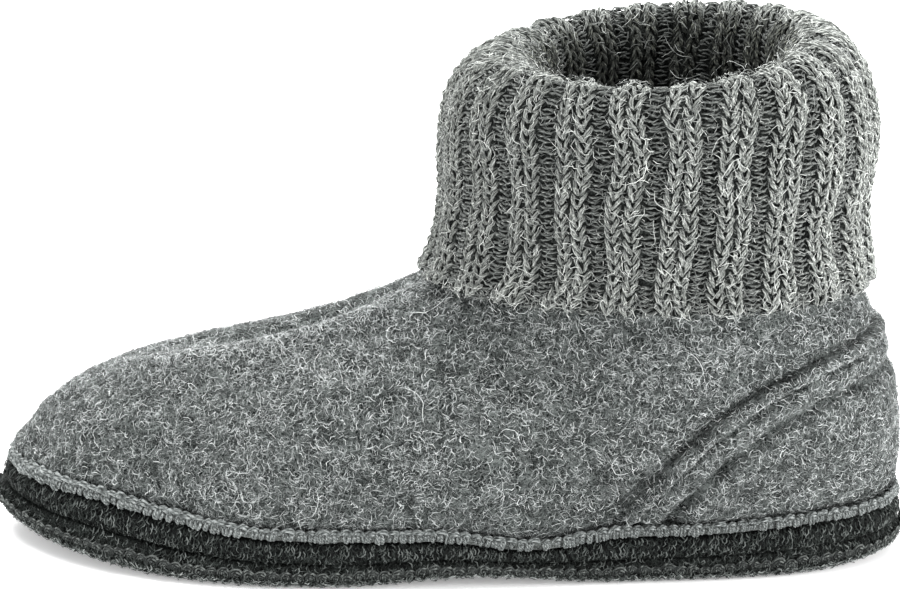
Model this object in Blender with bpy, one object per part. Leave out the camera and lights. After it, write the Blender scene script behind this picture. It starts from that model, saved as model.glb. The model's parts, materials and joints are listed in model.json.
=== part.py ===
"""Ankle-high boiled-wool slipper for the left foot, with a turned-down rib-knit cuff.

The toe points towards -X, the outer side of the foot is -Y and +Z is up. The origin is on the floor,
under the middle of the sole. Every piece is skinned through sections that run round the shoe: angle 0
is the toe, a quarter turn the outer side, a half turn the heel and three quarters the inner side.
"""

import math

import bmesh
import bpy
import numpy as np

MM = 0.001
GAP = 0.3 * MM  # left between pieces that are sewn or laid on each other

# Driving sizes of the sole
SOLE_LENGTH = 276 * MM
TOE_TIP_SIDE = 7 * MM  # how far the tip of the toe lies towards the inner side
TOE_SPRING = 7 * MM
TOE_SPRING_START = -66 * MM
HEEL_LIFT = 2.5 * MM
HEEL_LIFT_START = 100 * MM
ARCH_RISE = 2.6 * MM
ARCH_FRONT = -34 * MM
ARCH_BACK = 56 * MM
OUTSOLE_HEIGHT = 7.2 * MM
SOLE_HEIGHT = 14 * MM  # outsole and midsole together
TOE_RAND = 7 * MM  # how much higher the sole seam runs round the toe
TOE_RAND_FULL = -112 * MM
TOE_RAND_START = -46 * MM
HEEL_RAND = 1.8 * MM  # and round the heel
HEEL_RAND_FULL = 122 * MM
HEEL_RAND_START = 78 * MM
WAIST_DIP = 3.4 * MM  # how far the sole seam is drawn down at the waist
WAIST_DIP_X = 28 * MM
WAIST_DIP_REACH = 30 * MM
# How much of each curve the joint between outsole and midsole follows
JOINT_LAST = 0.35
JOINT_RAND = 0.65
JOINT_ARCH = 0.6
JOINT_DIP = 0.3

# Half widths of the outsole at the four stations that the outline is drawn through
FOOTPRINT_STATIONS = ("toe", "ball", "waist", "heel")
FOOTPRINT_OUTER = np.array((32, 50, 42, 29.5)) * MM
FOOTPRINT_INNER = np.array((37, 49, 37, 32)) * MM

# Edge profiles of the two sole layers, from underneath upwards. Columns: inset from the footprint in mm,
# share of the layer's height
OUTSOLE_EDGE = ((4.5, 0.0), (1.4, 0.12), (0.1, 0.40), (0.2, 0.68), (2.0, 1.0))
MIDSOLE_EDGE = ((2.6, 0.0), (0.9, 0.22), (0.6, 0.60), (1.6, 0.88), (3.2, 1.0))
MIDSOLE_TOE_INSET = 1.7 * MM  # added at the toe, where the outsole stands out further

# Felt wall of the upper, through loops that run from a point on the vamp's ridge to one on the heel's back.
# Columns: front x, front z, back x, back z, half width at toe, ball, waist, heel in mm, share of the sole's
# curves that the loop keeps
FELT = 3 * MM
UPPER_LOOPS = (
    (-130.6, 21.3, 132.6, 16.1, 29.6, 44.6, 34.1, 25.2, 1.00),
    (-129.4, 29.5, 134.6, 28.0, 30.5, 47.0, 38.0, 29.6, 0.95),
    (-122.8, 39.0, 135.0, 40.0, 29.0, 46.0, 41.0, 33.0, 0.85),
    (-109.5, 49.0, 133.4, 52.0, 26.0, 44.0, 42.5, 34.0, 0.65),
    (-84.5, 59.0, 131.2, 62.0, 22.5, 40.5, 43.0, 33.0, 0.40),
    (-49.5, 67.0, 129.6, 69.0, 20.0, 37.5, 43.0, 31.0, 0.15),
    (-19.5, 78.0, 127.2, 76.5, 20.5, 36.5, 42.0, 28.0, 0.05),
    (-4.5, 85.0, 124.4, 83.0, 22.5, 38.0, 40.0, 25.0, 0.00),
    (1.0, 91.5, 123.4, 90.0, 23.5, 39.0, 40.0, 24.5, 0.00),
    (2.5, 100.0, 123.0, 100.0, 24.1, 39.0, 39.0, 24.1, 0.00),
)

# Heel counter: its edge climbs from the sole seam at the waist to the middle of the heel's back
COUNTER_FELT = 1.6 * MM
COUNTER_CLEAR = 0.5 * MM  # off the upper's true face, because both are faceted
COUNTER_FRONT_ANGLE = math.radians(114)
COUNTER_FOOT = 5.4 * MM  # its lower edge over the sole's top, just above the seam's cord
COUNTER_TIP = 3 * MM  # its height at the tips
COUNTER_TOP = 71 * MM  # z of its edge at the middle of the back
COUNTER_SWEEP = 5  # the higher, the sooner the edge climbs

# Overlock cord along the sole seam
CORD_RADIUS_OUT = 1.4 * MM
CORD_RADIUS_UP = 1.9 * MM
CORD_INSET = 2.0 * MM
CORD_CLEAR = 1.2 * MM  # from the cord's side to the foot of the felt, which bulges over it
CORD_TOE_INSET = 3.4 * MM  # added at the toe, where the sole stands out further

INSOLE_THICKNESS = 4 * MM
INSOLE_EDGE = ((0.9, 0.0), (0.6, 0.35), (2.2, 1.0))  # columns as in the sole's edges, from the felt inwards

# Cuff: the visible face of the knit, from its hem up the outside, over the fold and down inside. Columns:
# front x, front z, back x, back z, half width, thickness of the knit in mm, how far its ribs gather towards
# front and back, as an angle in radians
CUFF_LOOPS = (
    (-9.3, 87.2, 129.6, 85.5, 46.0, 3.4, 0.00),
    (-5.0, 96.0, 128.0, 95.0, 47.0, 4.4, 0.00),
    (-2.8, 110.0, 126.9, 110.0, 47.5, 4.8, 0.00),
    (-3.0, 126.0, 129.4, 128.0, 47.5, 4.8, 0.01),
    (-1.0, 141.0, 127.8, 144.0, 47.0, 4.8, 0.04),
    (5.0, 151.0, 122.2, 156.5, 45.2, 4.8, 0.10),
    (15.5, 155.6, 112.5, 163.2, 41.5, 4.8, 0.16),
    (25.0, 152.5, 103.5, 160.0, 36.5, 4.8, 0.20),
    (29.0, 143.5, 99.5, 149.5, 34.0, 4.8, 0.20),
    (23.0, 126.0, 105.0, 128.0, 34.5, 4.8, 0.14),
    (8.0, 101.0, 117.5, 101.0, 36.4, 4.4, 0.04),
)
RIB_COUNT = 22
RIB_SPACING_ROW = 3  # the row of the table on which the ribs are evenly spaced
RIB_DEPTH = 2.6 * MM
RIB_STEPS = (0.0, 0.13, 0.24, 0.50, 0.76, 0.87)  # places across one rib, from valley to valley
RIB_RISES = (0.0, 0.08, 0.78, 1.0, 0.78, 0.08)  # share of the rib's depth at those places

# How finely the sections are divided
COLUMNS = 60
UPPER_ROWS = 15
COUNTER_COLUMNS = 23
COUNTER_ROWS = 9
CUFF_ROWS = 12
CUFF_BACK_ROWS = 7
CORD_SIDES = 8
SEARCH_STEPS = 360  # samples of a curve that a place is looked up on
SHARP_ANGLE = math.radians(40)

# Material and colour of each piece
ROUGHNESS = 0.95
MATERIALS = {
    "outsole": ("dark felted wool", (0.045, 0.048, 0.046)),
    "midsole": ("dark knitted wool", (0.042, 0.045, 0.043)),
    "insole": ("grey insole felt", (0.22, 0.225, 0.22)),
    "upper": ("grey boiled wool", (0.20, 0.21, 0.21)),
    "heel_counter": ("grey felt overlay", (0.20, 0.21, 0.205)),
    "seam_binding": ("pale overlock yarn", (0.30, 0.32, 0.31)),
    "cuff": ("grey rib knit", (0.20, 0.205, 0.20)),
}


def sine_curve(values, angle):
    """A smooth curve that is 0 at toe and heel and takes these values at evenly spaced angles between."""
    count = len(values)
    nodes = math.pi * np.arange(1, count + 1) / (count + 1)
    total = np.zeros_like(angle)
    for wave in range(1, count + 1):
        strength = 2 / (count + 1) * np.sum(values * np.sin(wave * nodes))
        total = total + strength * np.sin(wave * angle)
    return total


def toe_share(angle):
    """1 at the tip of the toe, fading to 0 at the heel."""
    return ((1 + np.cos(angle)) / 2) ** 3


def foot_centre(angle):
    """How far the middle of the footprint lies towards the inner side: the shoe's left or right curve."""
    nodes = math.pi * np.arange(1, len(FOOTPRINT_STATIONS) + 1) / (len(FOOTPRINT_STATIONS) + 1)
    middle = (FOOTPRINT_INNER - FOOTPRINT_OUTER) / 2 - TOE_TIP_SIDE * toe_share(nodes)
    folded = np.arccos(np.clip(np.cos(angle), -1, 1))
    return TOE_TIP_SIDE * toe_share(folded) + sine_curve(middle, folded)


def last_z(x):
    """Height of the last's underside over the sole's flat: toe spring and heel lift."""
    toe = np.clip((TOE_SPRING_START - x) / (TOE_SPRING_START + SOLE_LENGTH / 2), 0, None)
    heel = np.clip((x - HEEL_LIFT_START) / (SOLE_LENGTH / 2 - HEEL_LIFT_START), 0, None)
    return TOE_SPRING * toe**2 + HEEL_LIFT * heel**2


def arch_z(x):
    """Height of the arch under the waist."""
    along = np.clip((x - ARCH_FRONT) / (ARCH_BACK - ARCH_FRONT), 0, 1)
    return ARCH_RISE * np.sin(math.pi * along) ** 2


def ramp(x, start, full):
    """0 up to start and 1 from full on, with a soft rise between."""
    along = np.clip((x - start) / (full - start), 0, 1)
    return along**2 * (3 - 2 * along)


def rand_z(x):
    """How much higher the sole seam runs round the toe and the heel."""
    toe = TOE_RAND * ramp(x, TOE_RAND_START, TOE_RAND_FULL)
    return toe + HEEL_RAND * ramp(x, HEEL_RAND_START, HEEL_RAND_FULL)


def waist_dip_z(x):
    """How far the sole seam is drawn down at the waist."""
    along = np.clip((x - WAIST_DIP_X) / WAIST_DIP_REACH, -1, 1)
    return WAIST_DIP * np.cos(math.pi / 2 * along) ** 2


def joint_z(x):
    """Height of the joint between outsole and midsole."""
    ends = JOINT_LAST * last_z(x) + JOINT_RAND * rand_z(x)
    return OUTSOLE_HEIGHT + ends + JOINT_ARCH * arch_z(x) - JOINT_DIP * waist_dip_z(x)


def sole_top_z(x):
    """Height of the sole's top, where the upper is sewn on."""
    return SOLE_HEIGHT + rand_z(x) - waist_dip_z(x)


def footprint(angle, inset):
    """Points on the outline of the sole, moved inwards by inset, at height 0."""

    def edge(at):
        half = sine_curve((FOOTPRINT_OUTER + FOOTPRINT_INNER) / 2, at)
        return np.stack([axis_x(at), foot_centre(at) - half], -1)

    step = 1e-4
    along = edge(angle + step) - edge(angle - step)
    along /= np.linalg.norm(along, axis=-1, keepdims=True)
    inwards = np.stack([-along[..., 1], along[..., 0]], -1)
    flat = edge(angle) + inset * inwards
    return np.concatenate([flat, np.zeros_like(flat[..., :1])], -1)


def axis_x(angle):
    """x of the sole's outline at an angle. Heights along the sole are read there."""
    return -SOLE_LENGTH / 2 * np.cos(angle)


def cord_inset(angle):
    """How far inside the footprint the middle of the seam's cord runs."""
    return CORD_INSET + CORD_TOE_INSET * toe_share(angle)


def felt_inset(angle):
    """How far inside the footprint the outer face of the felt stands."""
    return cord_inset(angle) + CORD_RADIUS_OUT + CORD_CLEAR


def felt_foot(angle):
    """The line on the sole's top that the outer face of the felt stands on, just inside the cord."""
    line = footprint(angle, felt_inset(angle)[..., None])
    line[..., 2] = sole_top_z(axis_x(angle)) + GAP
    return line


def through_rows(table, row):
    """The table's columns at fractional rows, on a smooth curve through every row."""
    table = np.asarray(table, float)
    last = len(table) - 1
    padded = np.vstack([2 * table[0] - table[1], table, 2 * table[last] - table[last - 1]])
    row = np.clip(row, 0, last)
    low = np.minimum(row.astype(int), last - 1)
    t = (row - low)[..., None]
    before, start, end, after = (padded[low + k] for k in range(4))
    return start + t / 2 * (
        end - before
        + t * (2 * before - 5 * start + 4 * end - after + t * (3 * (start - end) + after - before))
    )


def upper_loops(row, angle):
    """Points on the planar loops of the upper's table, which a last is measured by."""
    columns = through_rows(UPPER_LOOPS, row)
    front_x, front_z, back_x, back_z = (columns[..., k] * MM for k in range(4))
    kept = columns[..., 8]
    share = (1 - np.cos(angle)) / 2
    x = front_x + (back_x - front_x) * share
    level_front = front_z - kept * sole_top_z(front_x)
    level_back = back_z - kept * sole_top_z(back_x)
    z = level_front + (level_back - level_front) * share + kept * sole_top_z(x)
    widths = np.moveaxis(columns[..., 4:8], -1, 0) * MM
    count = len(widths)
    half = np.zeros_like(x)
    for wave in range(1, count + 1):
        for station in range(count):
            node = math.pi * (station + 1) / (count + 1)
            half = half + 2 / (count + 1) * widths[station] * math.sin(wave * node) * np.sin(wave * angle)
    return np.stack([x, kept * foot_centre(angle) - half, z], -1)


def upper_surface(row, angle):
    """Points of the upper's outer face: row 0 stands on the sole and the last row is the collar."""
    row, angle = np.broadcast_arrays(np.asarray(row, float), np.asarray(angle, float))
    seated = (np.clip(1 - row, 0, 1) ** 2)[..., None]
    return upper_loops(row, angle) + seated * (felt_foot(angle) - upper_loops(np.zeros_like(row), angle))


def cuff_surface(row, angle):
    """Points of the smooth sheet that the cuff's ribs stand on: row 0 is the hem."""
    row, angle = np.broadcast_arrays(np.asarray(row, float), np.asarray(angle, float))
    columns = through_rows(CUFF_LOOPS, row)
    front_x, front_z, back_x, back_z, half = (columns[..., k] * MM for k in range(5))
    gathered = angle - columns[..., 6] * np.sin(2 * angle)
    share = (1 - np.cos(gathered)) / 2
    x = front_x + (back_x - front_x) * share
    z = front_z + (back_z - front_z) * share
    return np.stack([x, -half * np.sin(gathered), z], -1)


def normals(surface, row, angle, last_row):
    """Unit normals of a surface, on the side that shows."""
    step = 1e-3
    up = surface(np.minimum(row + step, last_row), angle) - surface(np.maximum(row - step, 0), angle)
    along = surface(row, angle + step) - surface(row, angle - step)
    across = np.cross(along, up)
    return across / np.linalg.norm(across, axis=-1, keepdims=True)


def felt_grid(rows, angles, offset):
    """A grid of points at a distance outside the upper's outer face."""
    points = upper_surface(rows, angles)
    return points + offset * normals(upper_surface, rows, angles, len(UPPER_LOOPS) - 1)


def make_material(piece):
    name, colour = MATERIALS[piece]
    material = bpy.data.materials.new(name)
    material.use_nodes = True
    shader = material.node_tree.nodes["Principled BSDF"]
    shader.inputs["Base Color"].default_value = (*colour, 1)
    shader.inputs["Roughness"].default_value = ROUGHNESS
    shader.inputs["Metallic"].default_value = 0
    return material


def add_object(name, bm, parent):
    bmesh.ops.recalc_face_normals(bm, faces=bm.faces)
    mesh = bpy.data.meshes.new(name)
    bm.to_mesh(mesh)
    bm.free()
    mesh.materials.append(make_material(name))
    mesh.shade_smooth()
    mesh.set_sharp_from_angle(angle=SHARP_ANGLE)
    shape = bpy.data.objects.new(name, mesh)
    shape.parent = parent
    bpy.context.collection.objects.link(shape)
    return shape


def skin(sections, closed_round=True, closed_over=False):
    """A mesh skinned over rows of points. It closes round each row, and over the last row to the first."""
    bm = bmesh.new()
    rows = [[bm.verts.new(point) for point in section] for section in sections]
    pairs = list(zip(rows, rows[1:]))
    if closed_over:
        pairs.append((rows[-1], rows[0]))
    for low, high in pairs:
        count = len(low)
        for i in range(count if closed_round else count - 1):
            j = (i + 1) % count
            bm.faces.new((low[i], low[j], high[j], high[i]))
    return bm, rows


def rung_cap(bm, ring):
    """Closes a ring with faces that run across the shoe, so that they follow the toe spring."""
    count = len(ring)
    for i in range(count // 2):
        across = [ring[i], ring[i + 1], ring[(count - i - 1) % count], ring[(count - i) % count]]
        bm.faces.new(list(dict.fromkeys(across)))


def layer(name, line, edge, under, over, parent):
    """One flat layer of the sole, drawn inside a line by the insets of its edge.

    under and over give the heights of its two faces along the sole.
    """
    angles = 2 * math.pi * np.arange(COLUMNS) / COLUMNS
    low = under(axis_x(angles))
    high = over(axis_x(angles))
    sections = []
    for inset, share in edge:
        ring = footprint(angles, (line(angles) + inset * MM)[:, None])
        ring[:, 2] = low + (high - low) * share
        sections.append(ring)
    bm, rows = skin(sections)
    rung_cap(bm, rows[0])
    rung_cap(bm, rows[-1])
    return add_object(name, bm, parent)


def make_outsole(parent):
    def under(x):
        return last_z(x) + arch_z(x)

    def over(x):
        return joint_z(x) - GAP / 2

    return layer("outsole", np.zeros_like, OUTSOLE_EDGE, under, over, parent)


def make_midsole(parent):
    def line(angle):
        return MIDSOLE_TOE_INSET * toe_share(angle)

    def under(x):
        return joint_z(x) + GAP / 2

    return layer("midsole", line, MIDSOLE_EDGE, under, sole_top_z, parent)


def make_insole(parent):
    """A felt sheet inside the upper. It fills the dip at the waist, so that the foot's bed is smooth."""

    def line(angle):
        return felt_inset(angle) + FELT

    def under(x):
        return sole_top_z(x) + GAP

    def over(x):
        return under(x) + waist_dip_z(x) + INSOLE_THICKNESS

    return layer("insole", line, INSOLE_EDGE, under, over, parent)


def make_upper(parent):
    """Skins the felt's outer and inner face. It stays open at the collar and underneath."""
    angles = 2 * math.pi * np.arange(COLUMNS) / COLUMNS
    rows = np.linspace(0, len(UPPER_LOOPS) - 1, UPPER_ROWS)
    outside = [upper_surface(row, angles) for row in rows]
    inside = [felt_grid(row, angles, -FELT) for row in rows]
    inside[0][:, 2] = outside[0][:, 2]
    inside[-1][:, 2] = outside[-1][:, 2]
    bm, _ = skin(outside + inside[::-1], closed_over=True)
    return add_object("upper", bm, parent)


def upper_row_at(angle, height):
    """The row of the upper's face that passes a height at an angle."""
    rows = np.linspace(0, len(UPPER_LOOPS) - 1, SEARCH_STEPS)
    return np.interp(height, upper_surface(rows, angle)[:, 2], rows)


def make_heel_counter(parent):
    """A felt overlay that follows the upper's own face, with a curved edge towards the waist."""
    angles = np.linspace(COUNTER_FRONT_ANGLE, 2 * math.pi - COUNTER_FRONT_ANGLE, COUNTER_COLUMNS)
    foot_rows = []
    edge_rows = []
    for angle in angles:
        along = 1 - abs(angle - math.pi) / (math.pi - COUNTER_FRONT_ANGLE)
        foot = sole_top_z(upper_surface(0, angle)[0]) + COUNTER_FOOT
        tip = foot + COUNTER_TIP
        edge = tip + (COUNTER_TOP - tip) * (1 - (1 - along) ** COUNTER_SWEEP)
        foot_rows.append(upper_row_at(angle, foot))
        edge_rows.append(upper_row_at(angle, edge))
    foot_rows = np.array(foot_rows)
    edge_rows = np.array(edge_rows)
    sections = []
    for share in np.linspace(0, 1, COUNTER_ROWS):
        sections.append(felt_grid(foot_rows + (edge_rows - foot_rows) * share, angles, COUNTER_CLEAR))
    bm, _ = skin(sections, closed_round=False)
    counter = add_object("heel_counter", bm, parent)
    wall = counter.modifiers.new("felt overlay", "SOLIDIFY")
    wall.thickness = COUNTER_FELT
    wall.offset = 1
    wall.use_even_offset = True
    return counter


def make_seam_binding(parent):
    """An overlock cord that runs all round on the midsole's edge, against the foot of the felt."""
    angles = 2 * math.pi * np.arange(COLUMNS) / COLUMNS
    sections = []
    for side in range(CORD_SIDES):
        turn = 2 * math.pi * (side + 0.5) / CORD_SIDES
        ring = footprint(angles, (cord_inset(angles) + CORD_RADIUS_OUT * math.cos(turn))[:, None])
        ring[:, 2] = sole_top_z(axis_x(angles)) + GAP + CORD_RADIUS_UP * (1 + math.sin(turn))
        sections.append(ring)
    bm, _ = skin(sections, closed_over=True)
    return add_object("seam_binding", bm, parent)


def rib_angles():
    """Angles round the cuff that part it into ribs of even width, with each rib's rise at its places.

    A rib lies on the middle of the front, so the first valley is half a rib from there.
    """
    fine = np.linspace(0, 2 * math.pi, SEARCH_STEPS + 1)
    loop = cuff_surface(RIB_SPACING_ROW, fine)
    run = np.concatenate([[0], np.cumsum(np.linalg.norm(np.diff(loop, axis=0), axis=1))])
    places = [(rib + 0.5 + step) / RIB_COUNT for rib in range(RIB_COUNT) for step in RIB_STEPS]
    return np.interp(np.mod(places, 1) * run[-1], run, fine), np.tile(RIB_RISES, RIB_COUNT)


def make_cuff(parent):
    """A knitted tube, turned down: ribs on the face that shows, and a smooth back under the fold."""
    angles, rises = rib_angles()
    last_row = len(CUFF_LOOPS) - 1
    sections = []
    for row in np.linspace(0, last_row, CUFF_ROWS):
        sheet = cuff_surface(row, angles)
        face = normals(cuff_surface, row, angles, last_row)
        sections.append(sheet + face * ((rises - 1) * RIB_DEPTH)[:, None])
    for row in np.linspace(last_row, 0, CUFF_BACK_ROWS):
        thickness = through_rows(CUFF_LOOPS, np.array(row))[5] * MM
        sheet = cuff_surface(row, angles)
        sections.append(sheet - normals(cuff_surface, row, angles, last_row) * thickness)
    bm, _ = skin(sections, closed_over=True)
    return add_object("cuff", bm, parent)


def build():
    for old in list(bpy.data.objects):
        bpy.data.objects.remove(old)
    slipper = bpy.data.objects.new("slipper", None)
    bpy.context.collection.objects.link(slipper)
    make_outsole(slipper)
    make_midsole(slipper)
    make_insole(slipper)
    make_upper(slipper)
    make_heel_counter(slipper)
    make_seam_binding(slipper)
    make_cuff(slipper)


build()
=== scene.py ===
"""Looks of the wool slipper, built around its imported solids.

The sections follow the order in which the slipper is put together: outsole, midsole, insole, felt upper,
heel counter, overlocked seam and knitted cuff, and then the floor, the light and the camera.
"""

import json
import math

import bpy
import numpy as np
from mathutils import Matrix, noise

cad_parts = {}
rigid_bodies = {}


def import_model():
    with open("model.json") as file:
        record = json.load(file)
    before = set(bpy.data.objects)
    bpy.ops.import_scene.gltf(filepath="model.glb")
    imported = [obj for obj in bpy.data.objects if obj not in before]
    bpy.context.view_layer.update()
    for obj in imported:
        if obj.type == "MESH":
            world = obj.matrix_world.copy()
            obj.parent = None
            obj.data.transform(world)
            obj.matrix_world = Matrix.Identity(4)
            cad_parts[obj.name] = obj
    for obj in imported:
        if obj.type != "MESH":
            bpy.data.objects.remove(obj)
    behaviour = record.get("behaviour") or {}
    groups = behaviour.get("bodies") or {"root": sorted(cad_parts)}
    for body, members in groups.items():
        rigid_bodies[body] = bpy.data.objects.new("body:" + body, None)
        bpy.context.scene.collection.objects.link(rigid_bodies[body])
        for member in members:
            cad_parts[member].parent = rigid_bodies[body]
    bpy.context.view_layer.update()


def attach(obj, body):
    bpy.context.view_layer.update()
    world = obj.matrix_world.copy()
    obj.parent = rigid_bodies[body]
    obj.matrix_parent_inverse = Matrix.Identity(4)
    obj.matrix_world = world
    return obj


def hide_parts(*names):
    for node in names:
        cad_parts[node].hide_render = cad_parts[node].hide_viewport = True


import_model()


# Outsole: the dark layer that meets the floor, of thick wool felted over a knitted cover. It is moulded to
# the last, with toe spring, arch and heel lift, and its knitted edge is lumpy, with a scalloped lower rim.
MM = 0.001
SOLE_LENGTH = 276 * MM
TOE_TIP_SIDE = 7 * MM
TOE_SPRING = 7 * MM
TOE_SPRING_START = -66 * MM
HEEL_LIFT = 2.5 * MM
HEEL_LIFT_START = 100 * MM
ARCH_RISE = 2.6 * MM
ARCH_FRONT = -34 * MM
ARCH_BACK = 56 * MM
OUTSOLE_HEIGHT = 7.2 * MM
SOLE_HEIGHT = 14 * MM
TOE_RAND = 7 * MM  # how much higher the sole seam runs round the toe
TOE_RAND_FULL = -112 * MM
TOE_RAND_START = -46 * MM
HEEL_RAND = 1.8 * MM
HEEL_RAND_FULL = 122 * MM
HEEL_RAND_START = 78 * MM
WAIST_DIP = 3.4 * MM  # how far the sole seam is drawn down at the waist
WAIST_DIP_X = 28 * MM
WAIST_DIP_REACH = 30 * MM
JOINT_LAST = 0.35  # how closely the joint of the two layers follows the last, and then the rest
JOINT_RAND = 0.65
JOINT_ARCH = 0.6
JOINT_DIP = 0.3
FOOTPRINT_OUTER = np.array((32, 50, 42, 29.5)) * MM  # half widths at toe, ball, waist and heel
FOOTPRINT_INNER = np.array((37, 49, 37, 32)) * MM
GAP = 0.3 * MM  # between pieces that lie on each other
OUTSOLE_EDGE = ((4.5, 0.0), (1.4, 0.12), (0.1, 0.40), (0.2, 0.68), (2.0, 1.0))  # inset in mm, share up
OUTSOLE_COLUMNS = 1100
OUTSOLE_ROWS = 13
SCALLOP_PITCH = 3.7 * MM
SCALLOP_RISE = 0.9 * MM
KNIT_LUMP = 0.55 * MM
LOOP_CLEAR = 0.12 * MM  # how far the cover's loops stand off the felt
KNOB_RADIUS = 0.32 * MM
KNOB_KINDS = 8
KNOB_ROW = 0.62  # as a share of the outsole's height
OUTSOLE_NAP_PER_M2 = 1.0e6
EDGE_MAP_SHARE = 0.72  # of the bake map's height, with the lids above it
LID_MAP_MIDDLE = np.array((0.24, 0.88))
LID_MAP_SCALE = np.array((0.45, 0.225))


def sine_curve(values, angle):
    """A smooth curve that is 0 at toe and heel and takes these values at evenly spaced angles between."""
    count = np.shape(values)[-1]
    nodes = math.pi * np.arange(1, count + 1) / (count + 1)
    total = np.zeros_like(angle)
    for wave in range(1, count + 1):
        strength = 2 / (count + 1) * np.sum(values * np.sin(wave * nodes), axis=-1)
        total = total + strength * np.sin(wave * angle)
    return total


def toe_share(angle):
    """1 at the tip of the toe, fading to 0 at the heel."""
    return ((1 + np.cos(angle)) / 2) ** 3


def foot_centre(angle):
    """How far the middle of the footprint lies towards the inner side."""
    count = len(FOOTPRINT_OUTER)
    nodes = math.pi * np.arange(1, count + 1) / (count + 1)
    middle = (FOOTPRINT_INNER - FOOTPRINT_OUTER) / 2 - TOE_TIP_SIDE * toe_share(nodes)
    folded = np.arccos(np.clip(np.cos(angle), -1, 1))
    return TOE_TIP_SIDE * toe_share(folded) + sine_curve(middle, folded)


def last_z(x):
    """Toe spring and heel lift of the last's underside."""
    toe = np.clip((TOE_SPRING_START - x) / (TOE_SPRING_START + SOLE_LENGTH / 2), 0, None)
    heel = np.clip((x - HEEL_LIFT_START) / (SOLE_LENGTH / 2 - HEEL_LIFT_START), 0, None)
    return TOE_SPRING * toe**2 + HEEL_LIFT * heel**2


def arch_z(x):
    """Height of the arch under the waist."""
    along = np.clip((x - ARCH_FRONT) / (ARCH_BACK - ARCH_FRONT), 0, 1)
    return ARCH_RISE * np.sin(math.pi * along) ** 2


def ramp(x, start, full):
    """0 up to start and 1 from full on, with a soft rise between."""
    along = np.clip((x - start) / (full - start), 0, 1)
    return along**2 * (3 - 2 * along)


def bell(x, middle, reach):
    """1 at the middle, fading softly to both sides."""
    return np.exp(-(((x - middle) / reach) ** 2))


def rand_z(x):
    """How much higher the sole seam runs round the toe and the heel."""
    toe = TOE_RAND * ramp(x, TOE_RAND_START, TOE_RAND_FULL)
    return toe + HEEL_RAND * ramp(x, HEEL_RAND_START, HEEL_RAND_FULL)


def waist_dip_z(x):
    """How far the sole seam is drawn down at the waist."""
    along = np.clip((x - WAIST_DIP_X) / WAIST_DIP_REACH, -1, 1)
    return WAIST_DIP * np.cos(math.pi / 2 * along) ** 2


def joint_z(x):
    """Height of the joint between outsole and midsole."""
    ends = JOINT_LAST * last_z(x) + JOINT_RAND * rand_z(x)
    return OUTSOLE_HEIGHT + ends + JOINT_ARCH * arch_z(x) - JOINT_DIP * waist_dip_z(x)


def sole_top_z(x):
    """Height of the sole's top, where the upper is sewn on."""
    return SOLE_HEIGHT + rand_z(x) - waist_dip_z(x)


def axis_x(angle):
    """x of the sole's outline at an angle."""
    return -SOLE_LENGTH / 2 * np.cos(angle)


def footprint(angle, inset):
    """Points on the outline of the sole, moved inwards by inset, at height 0."""

    def edge(at):
        half = sine_curve((FOOTPRINT_OUTER + FOOTPRINT_INNER) / 2, at)
        return np.stack([axis_x(at), foot_centre(at) - half], -1)

    step = 1e-4
    along = edge(angle + step) - edge(angle - step)
    along /= np.linalg.norm(along, axis=-1, keepdims=True)
    inwards = np.stack([-along[..., 1], along[..., 0]], -1)
    flat = edge(angle) + np.asarray(inset)[..., None] * inwards
    return np.concatenate([flat, np.zeros_like(flat[..., :1])], -1)


def through_rows(table, row):
    """The table's columns at fractional rows, on a smooth curve through every row."""
    table = np.asarray(table, float)
    last = len(table) - 1
    padded = np.vstack([2 * table[0] - table[1], table, 2 * table[last] - table[last - 1]])
    row = np.clip(row, 0, last)
    low = np.minimum(row.astype(int), last - 1)
    t = (row - low)[..., None]
    before, start, end, after = (padded[low + k] for k in range(4))
    return start + t / 2 * (
        end - before
        + t * (2 * before - 5 * start + 4 * end - after + t * (3 * (start - end) + after - before))
    )


def even_angles(line, count):
    """Angles at which a closed line is parted into even lengths, and the lengths run from the toe."""
    fine = np.linspace(0, 2 * math.pi, 6001)
    steps = np.linalg.norm(np.diff(line(fine), axis=0), axis=1)
    run = np.concatenate([[0], np.cumsum(steps)])
    places = np.arange(count) / count * run[-1]
    return np.interp(places, run, fine), places


def line_length(line):
    """Length of a closed line."""
    return 2 * even_angles(line, 2)[1][1]


def lumps(points, size, seed):
    """Soft noise from -1 to 1 whose lumps are about this far apart."""
    spots = np.asarray(points).reshape(-1, 3) / size + seed
    return np.array([noise.noise(spot) for spot in spots.tolist()]).reshape(np.shape(points)[:-1])


def sleeve_faces(rows, columns, closed_over=False, closed_round=True):
    """Faces that run round rows of points, with each corner's place on a 0 to 1 map."""
    spans = rows if closed_over else rows - 1
    steps = columns if closed_round else columns - 1
    row, column = (grid.ravel() for grid in np.meshgrid(np.arange(spans), np.arange(steps), indexing="ij"))
    over = (row + 1) % rows
    beside = (column + 1) % columns
    corners = (
        row * columns + column,
        row * columns + beside,
        over * columns + beside,
        over * columns + column,
    )
    left, right = column / columns, (column + 1) / columns
    low, high = row / spans, (row + 1) / spans
    places = np.stack([left, low, right, low, right, high, left, high], 1)
    return np.stack(corners, 1).tolist(), places.reshape(-1, 2).tolist()


def lid_faces(ring, points, upwards, low_u):
    """Faces across a ring, from side to side of the shoe, and their places on the map's top strip."""
    count = len(ring)
    faces = []
    places = []
    for i in range(count // 2):
        across = [ring[i], ring[i + 1], ring[(count - i - 1) % count], ring[(count - i) % count]]
        across = list(dict.fromkeys(across))
        faces.append(across if upwards else across[::-1])
        for corner in faces[-1]:
            u, v = LID_MAP_MIDDLE + LID_MAP_SCALE * points[corner][:2] / SOLE_LENGTH
            places.append((low_u + u, v))
    return faces, places


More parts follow.
